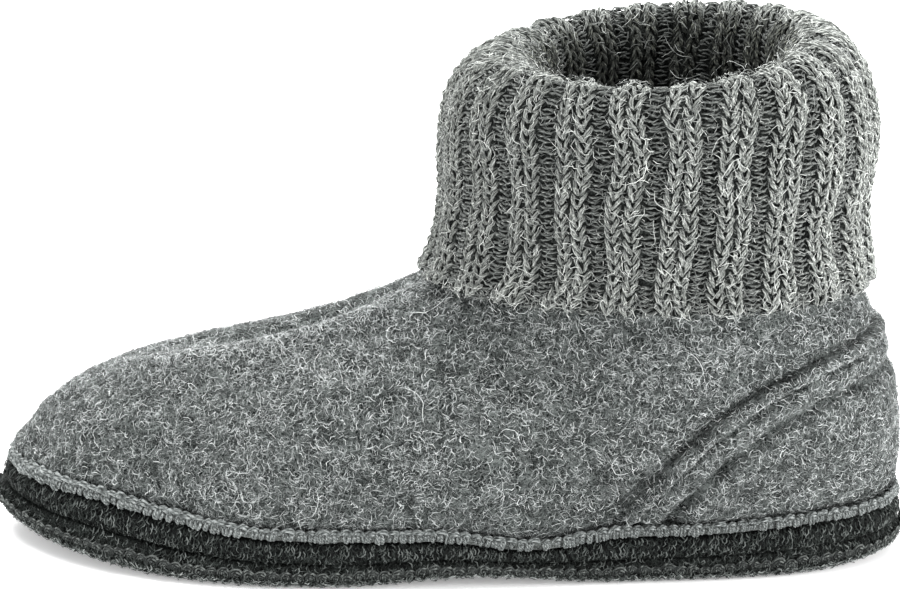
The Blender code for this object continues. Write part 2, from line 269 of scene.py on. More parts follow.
def mapped_mesh(name, points, faces, places):
    """A smooth mesh whose corners have these places on the bake map."""
    mesh = bpy.data.meshes.new(name)
    mesh.from_pydata(np.asarray(points).reshape(-1, 3).tolist(), [], faces)
    mesh.uv_layers.new(name="OFBake").data.foreach_set("uv", np.ravel(places).astype(np.float32))
    mesh.shade_smooth()
    return mesh


def in_scene(name, data):
    """A new object in the scene."""
    thing = bpy.data.objects.new(name, data)
    bpy.context.collection.objects.link(thing)
    return thing


def make_piece(name, points, faces, places, material):
    """A piece with its material and its places on the bake map."""
    mesh = mapped_mesh(name, points, faces, places)
    mesh.materials.append(material)
    return in_scene(name, mesh)


def linear(code):
    """An sRGB hex colour as linear red, green and blue with full alpha."""
    shares = [int(code[k : k + 2], 16) / 255 for k in (1, 3, 5)]
    return [s / 12.92 if s <= 0.04045 else ((s + 0.055) / 1.055) ** 2.4 for s in shares] + [1.0]


def add_node(tree, kind, inputs=(), **settings):
    """Adds a node, sets it up, and links or fills its inputs."""
    node = tree.nodes.new(kind)
    for key, value in settings.items():
        setattr(node, key, value)
    for key, value in dict(inputs).items():
        if isinstance(value, bpy.types.NodeSocket):
            tree.links.new(value, node.inputs[key])
        else:
            node.inputs[key].default_value = value
    return node


def wool(name, stops, roughness, gloss, sheen, sheen_roughness):
    """A wool material with a ramp of shades: gives its tree, its shader and the ramp's input as well."""
    material = bpy.data.materials.new(name)
    material.use_nodes = True
    tree = material.node_tree
    shader = tree.nodes["Principled BSDF"]
    shader.inputs["Roughness"].default_value = roughness
    shader.inputs["Specular IOR Level"].default_value = gloss
    shader.inputs["Sheen Weight"].default_value = sheen
    shader.inputs["Sheen Roughness"].default_value = sheen_roughness
    shades = add_node(tree, "ShaderNodeValToRGB")
    elements = shades.color_ramp.elements
    while len(elements) < len(stops):
        elements.new(0.5)
    for element, (place, code) in zip(elements, stops):
        element.position = place
        element.color = linear(code)
    tree.links.new(shades.outputs["Color"], shader.inputs["Base Color"])
    return material, tree, shader, shades.inputs["Fac"]


# The pattern of matted wool: layers of hairs over soft clouds of shade. Single hairs are too fine to show in
# the render, so these are drawn a few tenths of a millimetre wide.
HAIR_LAYERS = 3
HAIR_BAND = 0.16  # of the noise, from a gap to the crest beside it
HAIR_SHARPNESS = 3.0
HAIR_SHARE = 0.7  # of the hairs in the pattern, over the clouds
PATTERN_START = 0.35  # where the ramp of shades begins


def wool_ground(name, stops, tangle, depth, sheen=0.0):
    """Matted wool: curls about as big as tangle cross in layers, with dark gaps and no gloss."""
    material, tree, shader, shade = wool(
        name, stops, roughness=0.95, gloss=0.04, sheen=sheen, sheen_roughness=0.6
    )
    place = add_node(tree, "ShaderNodeTexCoord").outputs["Object"]
    clouds = add_node(
        tree, "ShaderNodeTexNoise", {"Vector": place, "Scale": 0.3 / tangle, "Detail": 2.0, "Distortion": 0.4}
    )
    hairs = 0.0
    for layer in range(HAIR_LAYERS):
        shift = (0.37 * layer, 0.11 * layer, 0.23 * layer)
        moved = add_node(tree, "ShaderNodeVectorMath", {0: place, 1: shift}, operation="ADD").outputs[0]
        drift = add_node(
            tree,
            "ShaderNodeTexNoise",
            {"Vector": moved, "Scale": (1 + 0.35 * layer) / tangle, "Detail": 1.5, "Distortion": 0.9},
        ).outputs["Fac"]
        crest = add_node(tree, "ShaderNodeMath", {0: drift, 1: HAIR_BAND}, operation="PINGPONG").outputs[0]
        hair = add_node(tree, "ShaderNodeMath", {0: crest, 1: 1 / HAIR_BAND}, operation="MULTIPLY").outputs[0]
        hair = add_node(tree, "ShaderNodeMath", {0: hair, 1: HAIR_SHARPNESS}, operation="POWER").outputs[0]
        hairs = add_node(tree, "ShaderNodeMath", {0: hairs, 1: hair}, operation="MAXIMUM").outputs[0]
    both = add_node(
        tree,
        "ShaderNodeMath",
        {0: hairs, 1: HAIR_SHARE, 2: clouds.outputs["Fac"]},
        operation="MULTIPLY_ADD",
    ).outputs[0]
    level = add_node(tree, "ShaderNodeMath", {0: both, 1: PATTERN_START}, operation="SUBTRACT")
    tree.links.new(level.outputs[0], shade)
    bump = add_node(tree, "ShaderNodeBump", {"Height": both, "Strength": 0.8, "Distance": depth})
    tree.links.new(bump.outputs["Normal"], shader.inputs["Normal"])
    return material


# The nap's fibres: short flat curls, each of one shade, on a tile of the map. Single fibres are too fine to
# show in the render, so the curls are drawn wider.
FIBRE_TILES = (6, 4)
FIBRE_TILE_SHARE = 0.8


def wool_fibre(name, stops, sheen=0.0):
    """Loose wool fibre. Each curl has one shade between dark and light, so the nap looks mottled."""
    material, tree, _, shade = wool(
        name, stops, roughness=0.8, gloss=0.1, sheen=sheen, sheen_roughness=0.5
    )
    place = add_node(tree, "ShaderNodeUVMap", uv_map="OFBake").outputs["UV"]
    tiles = add_node(tree, "ShaderNodeVectorMath", {0: place, 1: (*FIBRE_TILES, 0)}, operation="MULTIPLY")
    tile = add_node(tree, "ShaderNodeVectorMath", {0: tiles.outputs[0]}, operation="FLOOR")
    drawn = add_node(tree, "ShaderNodeTexWhiteNoise", {"Vector": tile.outputs[0]}, noise_dimensions="2D")
    tree.links.new(drawn.outputs["Value"], shade)
    return material


def on_tile(tile, tiles, share, places):
    """Places from 0 to 1, moved onto one tile of the bake map with a margin round them."""
    corner = np.array((tile % tiles[0], tile // tiles[0])) + (1 - share) / 2
    return (corner + share * np.array(places)) / tiles


def shape_set(name):
    """A new collection for the shapes that a tree copies."""
    shapes = bpy.data.collections.new(name)
    bpy.context.scene.collection.children.link(shapes)
    return shapes


def drop_set(shapes):
    """Removes the shapes that a tree has copied."""
    for shape in list(shapes.objects):
        bpy.data.objects.remove(shape)
    bpy.data.collections.remove(shapes)


def fibre_curls(name, length, width, bend, lift, seed, kinds=((2, 1.0),)):
    """Flat curled ribbons: sizes in metres, bend in radians, kinds as steps and share of the width."""
    draw = np.random.default_rng(seed)
    curls = shape_set(name)
    for tile in range(FIBRE_TILES[0] * FIBRE_TILES[1]):
        steps, thick = kinds[tile % len(kinds)]
        run = np.linspace(0, 1, steps + 1)
        turn = draw.choice((-1, 1)) * bend * draw.uniform(0.5, 1.3)
        heading = turn * (run - 0.5) + draw.normal(0, 0.25, steps + 1)
        stretch = length * draw.uniform(0.7, 1.3)
        x = np.concatenate([[0], np.cumsum(np.cos(heading[:-1]))]) * stretch / steps
        y = np.concatenate([[0], np.cumsum(np.sin(heading[:-1]))]) * stretch / steps
        x, y = x - x.mean(), y - y.mean()
        rise = lift * draw.uniform(0.15, 1.0)
        z = rise * (0.15 + np.sin(math.pi * run) * 0.6 + draw.uniform(0, 0.8) * run)
        side = np.stack([-np.sin(heading), np.cos(heading), draw.normal(0, 0.35, steps + 1)], 1)
        half = (thick * width / 2 * (0.55 + 0.45 * np.sin(math.pi * np.clip(run, 0.08, 0.92))))[:, None]
        middle = np.stack([x, y, z], 1)
        points = np.stack([middle - side * half, middle + side * half], 1)
        faces = [(2 * k, 2 * k + 2, 2 * k + 3, 2 * k + 1) for k in range(steps)]
        places = [
            (a / steps, b) for k in range(steps) for a, b in ((k, 0), (k + 1, 0), (k + 1, 1), (k, 1))
        ]
        label = f"{name}_{tile}"
        mesh = mapped_mesh(label, points, faces, on_tile(tile, FIBRE_TILES, FIBRE_TILE_SHARE, places))
        curls.objects.link(bpy.data.objects.new(label, mesh))
    return curls


def new_tree(name, sockets):
    """A tree of geometry nodes with the inputs that each tree here has, then these, and what they give."""
    tree = bpy.data.node_groups.new(name, "GeometryNodeTree")
    for label, kind in (
        ("Geometry", "Geometry"),
        ("Shapes", "Collection"),
        ("Last kind", "Int"),
        ("Seed", "Int"),
        ("Material", "Material"),
        *sockets,
    ):
        tree.interface.new_socket(label, in_out="INPUT", socket_type=f"NodeSocket{kind}")
    tree.interface.new_socket("Geometry", in_out="OUTPUT", socket_type="NodeSocketGeometry")
    return tree, add_node(tree, "NodeGroupInput").outputs


def set_shapes(tree, given, points, seed, turned, size):
    """Ends a tree: a shape picked at random stands on each point, is made real and gets its material."""
    pick = add_node(tree, "FunctionNodeRandomValue", {4: 0, 5: given["Last kind"], 8: seed}, data_type="INT")
    shapes = add_node(
        tree, "GeometryNodeCollectionInfo", {"Collection": given["Shapes"], "Separate Children": True}
    )
    placed = add_node(
        tree,
        "GeometryNodeInstanceOnPoints",
        {
            "Points": points,
            "Instance": shapes.outputs[0],
            "Pick Instance": True,
            "Instance Index": pick.outputs[2],
            "Rotation": turned,
            "Scale": size,
        },
    )
    real = add_node(tree, "GeometryNodeRealizeInstances", {"Geometry": placed.outputs[0]})
    dressed = add_node(
        tree, "GeometryNodeSetMaterial", {"Geometry": real.outputs[0], "Material": given["Material"]}
    )
    add_node(tree, "NodeGroupOutput", {"Geometry": dressed.outputs[0]})


def nap_tree():
    """Geometry nodes that strew curls over a face, each turned and sized at random."""
    tree, given = new_tree(
        "nap on a face", (("Per square metre", "Float"), ("Smallest", "Float"), ("Largest", "Float"))
    )
    grown = add_node(tree, "GeometryNodeInputNamedAttribute", {"Name": "nap"}, data_type="FLOAT")
    density = add_node(
        tree, "ShaderNodeMath", {0: given["Per square metre"], 1: grown.outputs[0]}, operation="MULTIPLY"
    )
    spots = add_node(
        tree,
        "GeometryNodeDistributePointsOnFaces",
        {"Mesh": given["Geometry"], "Density": density.outputs[0], "Seed": given["Seed"]},
        distribute_method="RANDOM",
    ).outputs
    spin = add_node(
        tree, "FunctionNodeRandomValue", {2: 0.0, 3: 2 * math.pi, 8: given["Seed"]}, data_type="FLOAT"
    )
    turn = add_node(tree, "FunctionNodeAxisAngleToRotation", {"Axis": (0, 0, 1), "Angle": spin.outputs[1]})
    turned = add_node(
        tree,
        "FunctionNodeRotateRotation",
        {"Rotation": spots["Rotation"], "Rotate By": turn.outputs[0]},
        rotation_space="LOCAL",
    )
    next_seed = add_node(tree, "ShaderNodeMath", {0: given["Seed"], 1: 1.0}, operation="ADD").outputs[0]
    size = add_node(
        tree,
        "FunctionNodeRandomValue",
        {2: given["Smallest"], 3: given["Largest"], 8: next_seed},
        data_type="FLOAT",
    )
    set_shapes(tree, given, spots["Points"], next_seed, turned.outputs[0], size.outputs[1])
    return tree


def stitch_tree():
    """Geometry nodes that set a stitch on each point, by the point's own directions and size."""
    tree, given = new_tree("stitches on points", ())
    out, along, size = (
        add_node(tree, "GeometryNodeInputNamedAttribute", {"Name": held}, data_type="FLOAT_VECTOR").outputs[0]
        for held in ("out", "along", "size")
    )
    turned = add_node(
        tree,
        "FunctionNodeAxesToRotation",
        {"Primary Axis": out, "Secondary Axis": along},
        primary_axis="Z",
        secondary_axis="X",
    )
    set_shapes(tree, given, given["Geometry"], given["Seed"], turned.outputs[0], size)
    return tree


nap_on_face = nap_tree()
stitches_on_points = stitch_tree()


def grown_from(tree, name, mesh, shapes, values):
    """Runs a tree on a mesh and gives back the result as a plain mesh object."""
    values = {"Shapes": shapes, "Last kind": len(shapes.objects) - 1, **values}
    carrier = in_scene(name + "_carrier", mesh)
    modifier = carrier.modifiers.new(tree.name, "NODES")
    modifier.node_group = tree
    for socket in tree.interface.items_tree:
        if socket.in_out == "INPUT" and socket.name in values:
            modifier[socket.identifier] = values[socket.name]
    graph = bpy.context.evaluated_depsgraph_get()
    grown = bpy.data.meshes.new_from_object(carrier.evaluated_get(graph))
    carrier.modifiers.remove(modifier)
    bpy.data.objects.remove(carrier)
    grown.name = name
    return in_scene(name, grown)


def nap_piece(name, carrier, share, curls, per_square_metre, sizes, seed, material):
    """Loose fibre on a piece: share says how thick it grows at each point, and later points stay bare."""
    mesh = carrier.data.copy()
    thickness = np.zeros(len(mesh.vertices), np.float32)
    thickness[: np.size(share)] = np.ravel(share)
    mesh.attributes.new("nap", "FLOAT", "POINT").data.foreach_set("value", thickness)
    values = {"Per square metre": per_square_metre, "Smallest": sizes[0], "Largest": sizes[1]}
    return grown_from(nap_on_face, name, mesh, curls, {"Seed": seed, "Material": material, **values})


def stitch_piece(name, spots, out, along, size, shapes, seed, material):
    """A stitch on each spot, turned by its two directions and sized by its size."""
    mesh = bpy.data.meshes.new(name + "_spots")
    mesh.from_pydata(np.asarray(spots).tolist(), [], [])
    for label, values in (("out", out), ("along", along), ("size", size)):
        held = np.broadcast_to(values, np.shape(spots)).astype(np.float32)
        mesh.attributes.new(label, "FLOAT_VECTOR", "POINT").data.foreach_set("vector", held.ravel())
    return grown_from(stitches_on_points, name, mesh, shapes, {"Seed": seed, "Material": material})


def lie_on_floor(piece):
    """Presses the points of a piece that would reach under the floor flat on it."""
    points = np.empty(3 * len(piece.data.vertices), np.float32)
    piece.data.vertices.foreach_get("co", points)
    points[2::3] = np.maximum(points[2::3], 0.05 * MM)
    piece.data.vertices.foreach_set("co", points)


# Pieces of spun yarn, each on a tile of the map. The streaks along it are drawn about half a millimetre wide,
# because the fibres that make them are too fine to show in the render.
YARN_TILES = (4, 4)
YARN_TILE_SHARE = 0.86
YARN_SHADES_ALONG = 16.0  # over the whole map, so four along each piece


def spun_yarn(name, stops, streaks, twist, sheen=0.0):
    """Spun wool yarn: fibres run along it in a slow twist, light on dark, with a soft matt face."""
    material, tree, shader, shade = wool(
        name, stops, roughness=0.9, gloss=0.2, sheen=sheen, sheen_roughness=0.5
    )
    place = add_node(tree, "ShaderNodeUVMap", uv_map="OFBake").outputs["UV"]
    u, v, _ = add_node(tree, "ShaderNodeSeparateXYZ", {0: place}).outputs
    slanted = add_node(tree, "ShaderNodeMath", {0: u, 1: twist, 2: v}, operation="MULTIPLY_ADD").outputs[0]
    along = add_node(tree, "ShaderNodeMath", {0: u, 1: YARN_SHADES_ALONG}, operation="MULTIPLY").outputs[0]
    around = add_node(tree, "ShaderNodeMath", {0: slanted, 1: streaks}, operation="MULTIPLY").outputs[0]
    drawn = add_node(tree, "ShaderNodeCombineXYZ", {0: along, 1: around}).outputs[0]
    fibre = add_node(
        tree,
        "ShaderNodeTexNoise",
        {"Vector": drawn, "Scale": 1.0, "Detail": 2.0, "Roughness": 0.6},
        noise_dimensions="2D",
    ).outputs["Fac"]
    tree.links.new(fibre, shade)
    bump = add_node(tree, "ShaderNodeBump", {"Height": fibre, "Strength": 0.7, "Distance": 0.35 * MM})
    tree.links.new(bump.outputs["Normal"], shader.inputs["Normal"])
    return material


def yarn_piece(name, strands, radii, sides, tile, collection):
    """A short piece of yarn, of strands that each follow a path, on its own tile of the bake map."""
    points, faces, places = [], [], []
    for number, path in enumerate(strands):
        path = np.asarray(path, float)
        steps = len(path) - 1
        along = np.gradient(path, axis=0)
        along /= np.linalg.norm(along, axis=1, keepdims=True)
        across = np.cross(along, (0.0, 0.12, 1.0))
        across /= np.linalg.norm(across, axis=1, keepdims=True)
        up = np.cross(across, along)
        first = number * len(path) * sides
        for k in range(steps + 1):
            for i in range(sides):
                turn = 2 * math.pi * i / sides
                points.append(path[k] + radii[k] * (up[k] * math.sin(turn) - across[k] * math.cos(turn)))
        for k in range(steps):
            low, high = first + k * sides, first + (k + 1) * sides
            for i in range(sides):
                j = (i + 1) % sides
                faces.append((low + i, low + j, high + j, high + i))
                for a, b in ((k, i), (k, i + 1), (k + 1, i + 1), (k + 1, i)):
                    places.append((a / steps, (number + b / sides) / len(strands)))
    mesh = mapped_mesh(name, points, faces, on_tile(tile, YARN_TILES, YARN_TILE_SHARE, places))
    collection.objects.link(bpy.data.objects.new(name, mesh))


def sole_point(angle, share, form, proud, lifted):
    """Points on the edge of a layer of the sole, at a share of its height."""
    edge, line, under, over = form
    profile = through_rows(edge, np.linspace(0, len(edge) - 1, 80))
    inset = np.interp(share, profile[:, 1], profile[:, 0]) * MM
    point = footprint(angle, line(angle) + inset - proud)
    low, high = under(axis_x(angle)), over(axis_x(angle))
    point[..., 2] = low + (high - low) * share + lifted
    return point


def sole_layer(name, columns, rows, form, relief, material):
    """One layer of the sole: an edge band with relief, and two lids."""
    edge, line = form[:2]
    angles, run = even_angles(lambda at: footprint(at, line(at)), columns)
    outline = footprint(angles, line(angles))
    sections = []
    for share in through_rows(edge, np.linspace(0, len(edge) - 1, rows))[:, 1]:
        level = np.full_like(run, share)
        sections.append(sole_point(angles, level, form, *relief(run, level, outline)))
    points = np.array(sections).reshape(-1, 3)
    faces, places = sleeve_faces(rows, columns)
    places = (np.array(places) * (1, EDGE_MAP_SHARE)).tolist()
    first = list(range(columns))
    last = list(range((rows - 1) * columns, rows * columns))
    for ring, upwards, low_u in ((first, False, 0), (last, True, 0.5)):
        more, more_places = lid_faces(ring, points, upwards, low_u)
        faces += more
        places += more_places
    return make_piece(name, points, faces, places, material)


def sole_loops(name, form, relief, pitch, shares, slant, curls, seed, material):
    """The cover's knitted loops: two slanted strands to each column, in rows up the edge of a layer."""
    draw = np.random.default_rng(seed)
    line = form[1]
    count = int(line_length(lambda at: footprint(at, line(at))) / pitch) * 2
    angles, run = even_angles(lambda at: footprint(at, line(at)), count)
    spots, alongs, outs = [], [], []
    for share in shares:
        at = angles + draw.normal(0, 0.15, count) * (angles[1] - angles[0])
        level = share + draw.normal(0, 0.035, count)
        proud, lifted = relief(run, level, footprint(at, line(at)))
        here = sole_point(at, level, form, proud + LOOP_CLEAR, lifted)
        above = sole_point(at, level + 0.05, form, proud + LOOP_CLEAR, lifted)
        beside = sole_point(at + 1e-3, level, form, proud + LOOP_CLEAR, lifted)
        up = (above - here) / np.linalg.norm(above - here, axis=1, keepdims=True)
        side = (beside - here) / np.linalg.norm(beside - here, axis=1, keepdims=True)
        lean = slant * (np.where(np.arange(count) % 2, 1, -1) + draw.normal(0, 1.0, count))
        spots.append(here)
        alongs.append(up + lean[:, None] * side)
        outs.append(np.cross(side, up))
    spots, outs, alongs = (np.concatenate(rows) for rows in (spots, outs, alongs))
    sizes = draw.uniform(0.8, 1.2, (len(spots), 1))
    return stitch_piece(name, spots, outs, alongs, sizes, curls, seed, material)


def outsole_relief(run, share, spot):
    """Lumps of the knitted cover, in rows, and the scallops along the lower rim."""
    scallop = 0.5 + 0.5 * np.cos(2 * math.pi * run / SCALLOP_PITCH)
    high = spot + np.stack([np.zeros_like(run), np.zeros_like(run), share * OUTSOLE_HEIGHT], -1)
    knit = (2.4 * scallop - 1.3) * bell(share, 0.6, 0.26) + 0.7 * lumps(high, 2.6 * MM, 7.7)
    lifted = SCALLOP_RISE * (1 - scallop) * np.clip(1 - share / 0.45, 0, 1) * (share > 0.01)
    lifted = lifted + 0.5 * MM * share**2 * lumps(spot, 4 * MM, 2.9)
    return KNIT_LUMP * knit, lifted


# Wool felted and dyed dark: almost black and quite matt, with a few grey hairs
dark_felt = wool_ground(
    "dark felted wool",
    ((0.1, "#030303"), (0.45, "#0e100f"), (0.85, "#2f3331")),
    tangle=1.8 * MM,
    depth=0.5 * MM,
)
# The fibre that stands loose on it: mostly as dark, with a few pale strands
dark_fibre = wool_fibre(
    "loose dark wool fibre", ((0.0, "#080909"), (0.4, "#141615"), (0.75, "#2f3331"), (1.0, "#606462"))
)
# The same fibre at the rim, which rubs on the floor and has gone pale
worn_dark_fibre = wool_fibre(
    "worn dark wool fibre", ((0.0, "#181a19"), (0.4, "#363938"), (0.75, "#5d615f"), (1.0, "#8e9290"))
)
# The cover's spun yarn: dark grey, with paler streaks along its twist
dark_yarn = spun_yarn(
    "dark sole yarn", ((0.25, "#090a0a"), (0.5, "#2a2d2c"), (0.78, "#6c706d")), streaks=30.0, twist=0.5
)
outsole_form = (
    OUTSOLE_EDGE,
    np.zeros_like,
    lambda x: last_z(x) + arch_z(x),
    lambda x: joint_z(x) - GAP / 2,
)
outsole = sole_layer("outsole_felt", OUTSOLE_COLUMNS, OUTSOLE_ROWS, outsole_form, outsole_relief, dark_felt)
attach(outsole, "root")
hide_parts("outsole")

# The cover's loops, and its lower rim, where they are worn and lie flat
loop_strands = fibre_curls("loop_strands", length=2.1 * MM, width=0.36 * MM, bend=1.7, lift=0.5 * MM, seed=13)
for name, shares, slant, seed, fibre in (
    ("outsole_loops", (0.4, 0.54, 0.68, 0.82, 0.94), 0.5, 15, dark_fibre),
    ("outsole_rim", (0.03, 0.1, 0.17, 0.24, 0.31), 2.5, 16, worn_dark_fibre),
):
    loops = sole_loops(
        name, outsole_form, outsole_relief, SCALLOP_PITCH / 2, shares, slant, loop_strands, seed, fibre
    )
    lie_on_floor(loops)
    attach(loops, "root")

# A row of rounded stitches stands out along the outsole, each a nest of three arcs of yarn
draw = np.random.default_rng(19)
knobs = shape_set("knobs")
arc = np.linspace(-1.8, 1.8, 6)
for tile in range(KNOB_KINDS):
    strands = []
    for size in (1.75, 1.15, 0.55):
        arch = [size * np.sin(arc), size * np.cos(arc) - 0.3, 0.9 * np.cos(arc / 2) - 0.35 * size + 0.2]
        strands.append((np.stack(arch, 1) + draw.normal(0, 0.1, (6, 3))) * MM)
    yarn_piece(f"knob_{tile}", strands, KNOB_RADIUS * np.array((0.6, 1, 1, 1, 1, 0.6)), 3, tile, knobs)
fine_angles, fine_run = even_angles(lambda at: footprint(at, 0.0), 4000)
knob_run = np.arange(SCALLOP_PITCH, fine_run[-1], SCALLOP_PITCH)
knob_angles = np.interp(knob_run, fine_run, fine_angles)
knob_shares = KNOB_ROW + draw.normal(0, 0.03, len(knob_run))
knob_foot = footprint(knob_angles, 0.0)
relief = outsole_relief(knob_run, knob_shares, knob_foot)
knob_spots = sole_point(knob_angles, knob_shares, outsole_form, *relief)
knob_along = sole_point(knob_angles + 1e-3, knob_shares, outsole_form, *relief) - knob_spots
knob_out = knob_foot - footprint(knob_angles, 5 * MM)
knob_sizes = draw.uniform(0.95, 1.3, (len(knob_run), 1))
outsole_knobs = stitch_piece(
    "outsole_knobs", knob_spots, knob_out, knob_along, knob_sizes, knobs, 18, dark_yarn
)
drop_set(knobs)
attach(outsole_knobs, "root")

sole_curls = fibre_curls("sole_curls", length=1.7 * MM, width=0.16 * MM, bend=1.6, lift=0.5 * MM, seed=11)
band = np.zeros((OUTSOLE_ROWS, OUTSOLE_COLUMNS))
band[2:-1] = 1
outsole_nap = nap_piece(
    "outsole_nap", outsole, band, sole_curls, OUTSOLE_NAP_PER_M2, (0.6, 1.2), 5, dark_fibre
)
lie_on_floor(outsole_nap)
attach(outsole_nap, "root")


# Midsole: the second dark layer, a band of wool knitted in fine upright ridges round a felt core. It is sewn
# to the outsole, and the seam draws in a groove between the two.
MIDSOLE_EDGE = ((2.6, 0.0), (0.9, 0.22), (0.6, 0.60), (1.6, 0.88), (3.2, 1.0))
MIDSOLE_TOE_INSET = 1.7 * MM
MIDSOLE_COLUMNS = 1900
MIDSOLE_ROWS = 9
RIDGE_PITCH = 1.15 * MM
RIDGE_RISE = 0.4 * MM
MIDSOLE_NAP_PER_M2 = 1.0e6


def midsole_relief(run, share, spot):
    """Fine upright ridges that wander a little, and the band's slow unevenness."""
    wander = lumps(spot + share[:, None] * (0, 0, 5 * MM), 5 * MM, 1.3) * 1.6
    ridge = np.cos(2 * math.pi * run / RIDGE_PITCH + wander)
    proud = RIDGE_RISE * (0.5 * ridge + 0.8 * lumps(spot, 9 * MM, 4.4))
    return proud * np.sin(math.pi * np.clip(share, 0.05, 0.95)), np.zeros_like(run)


# Dark wool knitted close: black between its ridges
dark_knit = wool_ground(
    "dark ridged wool knit",
    ((0.1, "#020202"), (0.45, "#080909"), (0.85, "#1c1f1e")),
    tangle=1.5 * MM,
    depth=0.5 * MM,
)
# Its fibre: dark, with a few pale strands that show up the ridges
knit_fibre = wool_fibre(
    "dark knit fibre", ((0.0, "#060707"), (0.4, "#111312"), (0.75, "#292d2b"), (1.0, "#5c605e"))
)
midsole_form = (
    MIDSOLE_EDGE,
    lambda angle: MIDSOLE_TOE_INSET * toe_share(angle),
    lambda x: joint_z(x) + GAP / 2,
    sole_top_z,
)
midsole = sole_layer("midsole_knit", MIDSOLE_COLUMNS, MIDSOLE_ROWS, midsole_form, midsole_relief, dark_knit)
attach(midsole, "root")
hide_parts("midsole")

midsole_loops = sole_loops(
    "midsole_loops",
    midsole_form,
    midsole_relief,
    RIDGE_PITCH,
    shares=(0.05, 0.2, 0.37, 0.55, 0.75, 0.9),
    slant=0.2,
    curls=loop_strands,
    seed=17,
    material=knit_fibre,
)
drop_set(loop_strands)
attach(midsole_loops, "root")

band = np.zeros((MIDSOLE_ROWS, MIDSOLE_COLUMNS))
band[1:-1] = 1
midsole_nap = nap_piece(
    "midsole_nap", midsole, band, sole_curls, MIDSOLE_NAP_PER_M2, (0.5, 1.0), 9, knit_fibre
)
drop_set(sole_curls)
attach(midsole_nap, "root")


# Insole: a sheet of grey wool felt that lies loose inside, on the sole. It is thicker over the dip at the
# waist, so that its top, which shows only deep down in the collar, runs on level there.
CORD_RADIUS_OUT = 1.4 * MM
CORD_RADIUS_UP = 1.9 * MM
CORD_INSET = 2.0 * MM
CORD_CLEAR = 1.2 * MM
CORD_TOE_INSET = 3.4 * MM
FELT = 3 * MM
INSOLE_THICKNESS = 4 * MM
INSOLE_EDGE = ((0.9, 0.0), (0.6, 0.35), (2.2, 1.0))
INSOLE_COLUMNS = 360
INSOLE_ROWS = 6


def cord_inset(angle):
    """How far inside the footprint the middle of the seam's cord runs."""
    return CORD_INSET + CORD_TOE_INSET * toe_share(angle)


def felt_inset(angle):
    """How far inside the footprint the outer face of the felt stands."""
    return cord_inset(angle) + CORD_RADIUS_OUT + CORD_CLEAR


# Pressed wool felt in a sheet: an even mid grey with a short, flat nap
grey_sheet_felt = wool_ground(
    "grey insole felt",
    ((0.1, "#2c2f2e"), (0.45, "#545756"), (0.85, "#8b8e8c")),
    tangle=2.2 * MM,
    depth=0.3 * MM,
    sheen=0.2,
)
insole_form = (
    INSOLE_EDGE,
    lambda angle: felt_inset(angle) + FELT,
    lambda x: sole_top_z(x) + GAP,
    lambda x: sole_top_z(x) + GAP + waist_dip_z(x) + INSOLE_THICKNESS,
)
insole = sole_layer(
    "insole_felt",
    INSOLE_COLUMNS,
    INSOLE_ROWS,
    insole_form,
    lambda run, share, spot: (0.2 * MM * lumps(spot, 7 * MM, 2.2), np.zeros_like(run)),
    grey_sheet_felt,
)
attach(insole, "root")
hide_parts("insole")


# Upper: one shell of boiled wool felt, about 3 mm thick, moulded on the last and open at the collar and
# underneath. Its nap of short curled fibres is light over a darker ground, and wear has left soft creases.
UPPER_LOOPS = (  # front x, front z, back x, back z, half width at toe, ball, waist, heel in mm, share kept
    (-130.6, 21.3, 132.6, 16.1, 29.6, 44.6, 34.1, 25.2, 1.00),
    (-129.4, 29.5, 134.6, 28.0, 30.5, 47.0, 38.0, 29.6, 0.95),
    (-122.8, 39.0, 135.0, 40.0, 29.0, 46.0, 41.0, 33.0, 0.85),
    (-109.5, 49.0, 133.4, 52.0, 26.0, 44.0, 42.5, 34.0, 0.65),
    (-84.5, 59.0, 131.2, 62.0, 22.5, 40.5, 43.0, 33.0, 0.40),
    (-49.5, 67.0, 129.6, 69.0, 20.0, 37.5, 43.0, 31.0, 0.15),
    (-19.5, 78.0, 127.2, 76.5, 20.5, 36.5, 42.0, 28.0, 0.05),
    (-4.5, 85.0, 124.4, 83.0, 22.5, 38.0, 40.0, 25.0, 0.00),
    (1.0, 91.5, 123.4, 90.0, 23.5, 39.0, 40.0, 24.5, 0.00),
    (2.5, 100.0, 123.0, 100.0, 24.1, 39.0, 39.0, 24.1, 0.00),
)
UPPER_LAST_ROW = len(UPPER_LOOPS) - 1
UPPER_COLUMNS = 340
UPPER_ROWS = 76
UPPER_BACK_ROWS = 10
UPPER_NAP_PER_M2 = 2.8e6
UPPER_FUZZ_PER_M2 = 1.0e5
UPPER_HAIRS_PER_M2 = 9.0e3
HIGHLIGHT_NAP_PER_M2 = 2.6e6  # on ridges and on the counter's rolled edge, pale fibre as painted highlight
UPPER_NAP_TOP_ROW = 8.0  # above it the cuff covers the felt
NAP_SPLIT_X = -6 * MM
UPPER_LUMPS = ((0.45, 15.0, 5.5), (0.3, 4.6, 8.8))  # of the felting: rise and spacing in mm, and seed
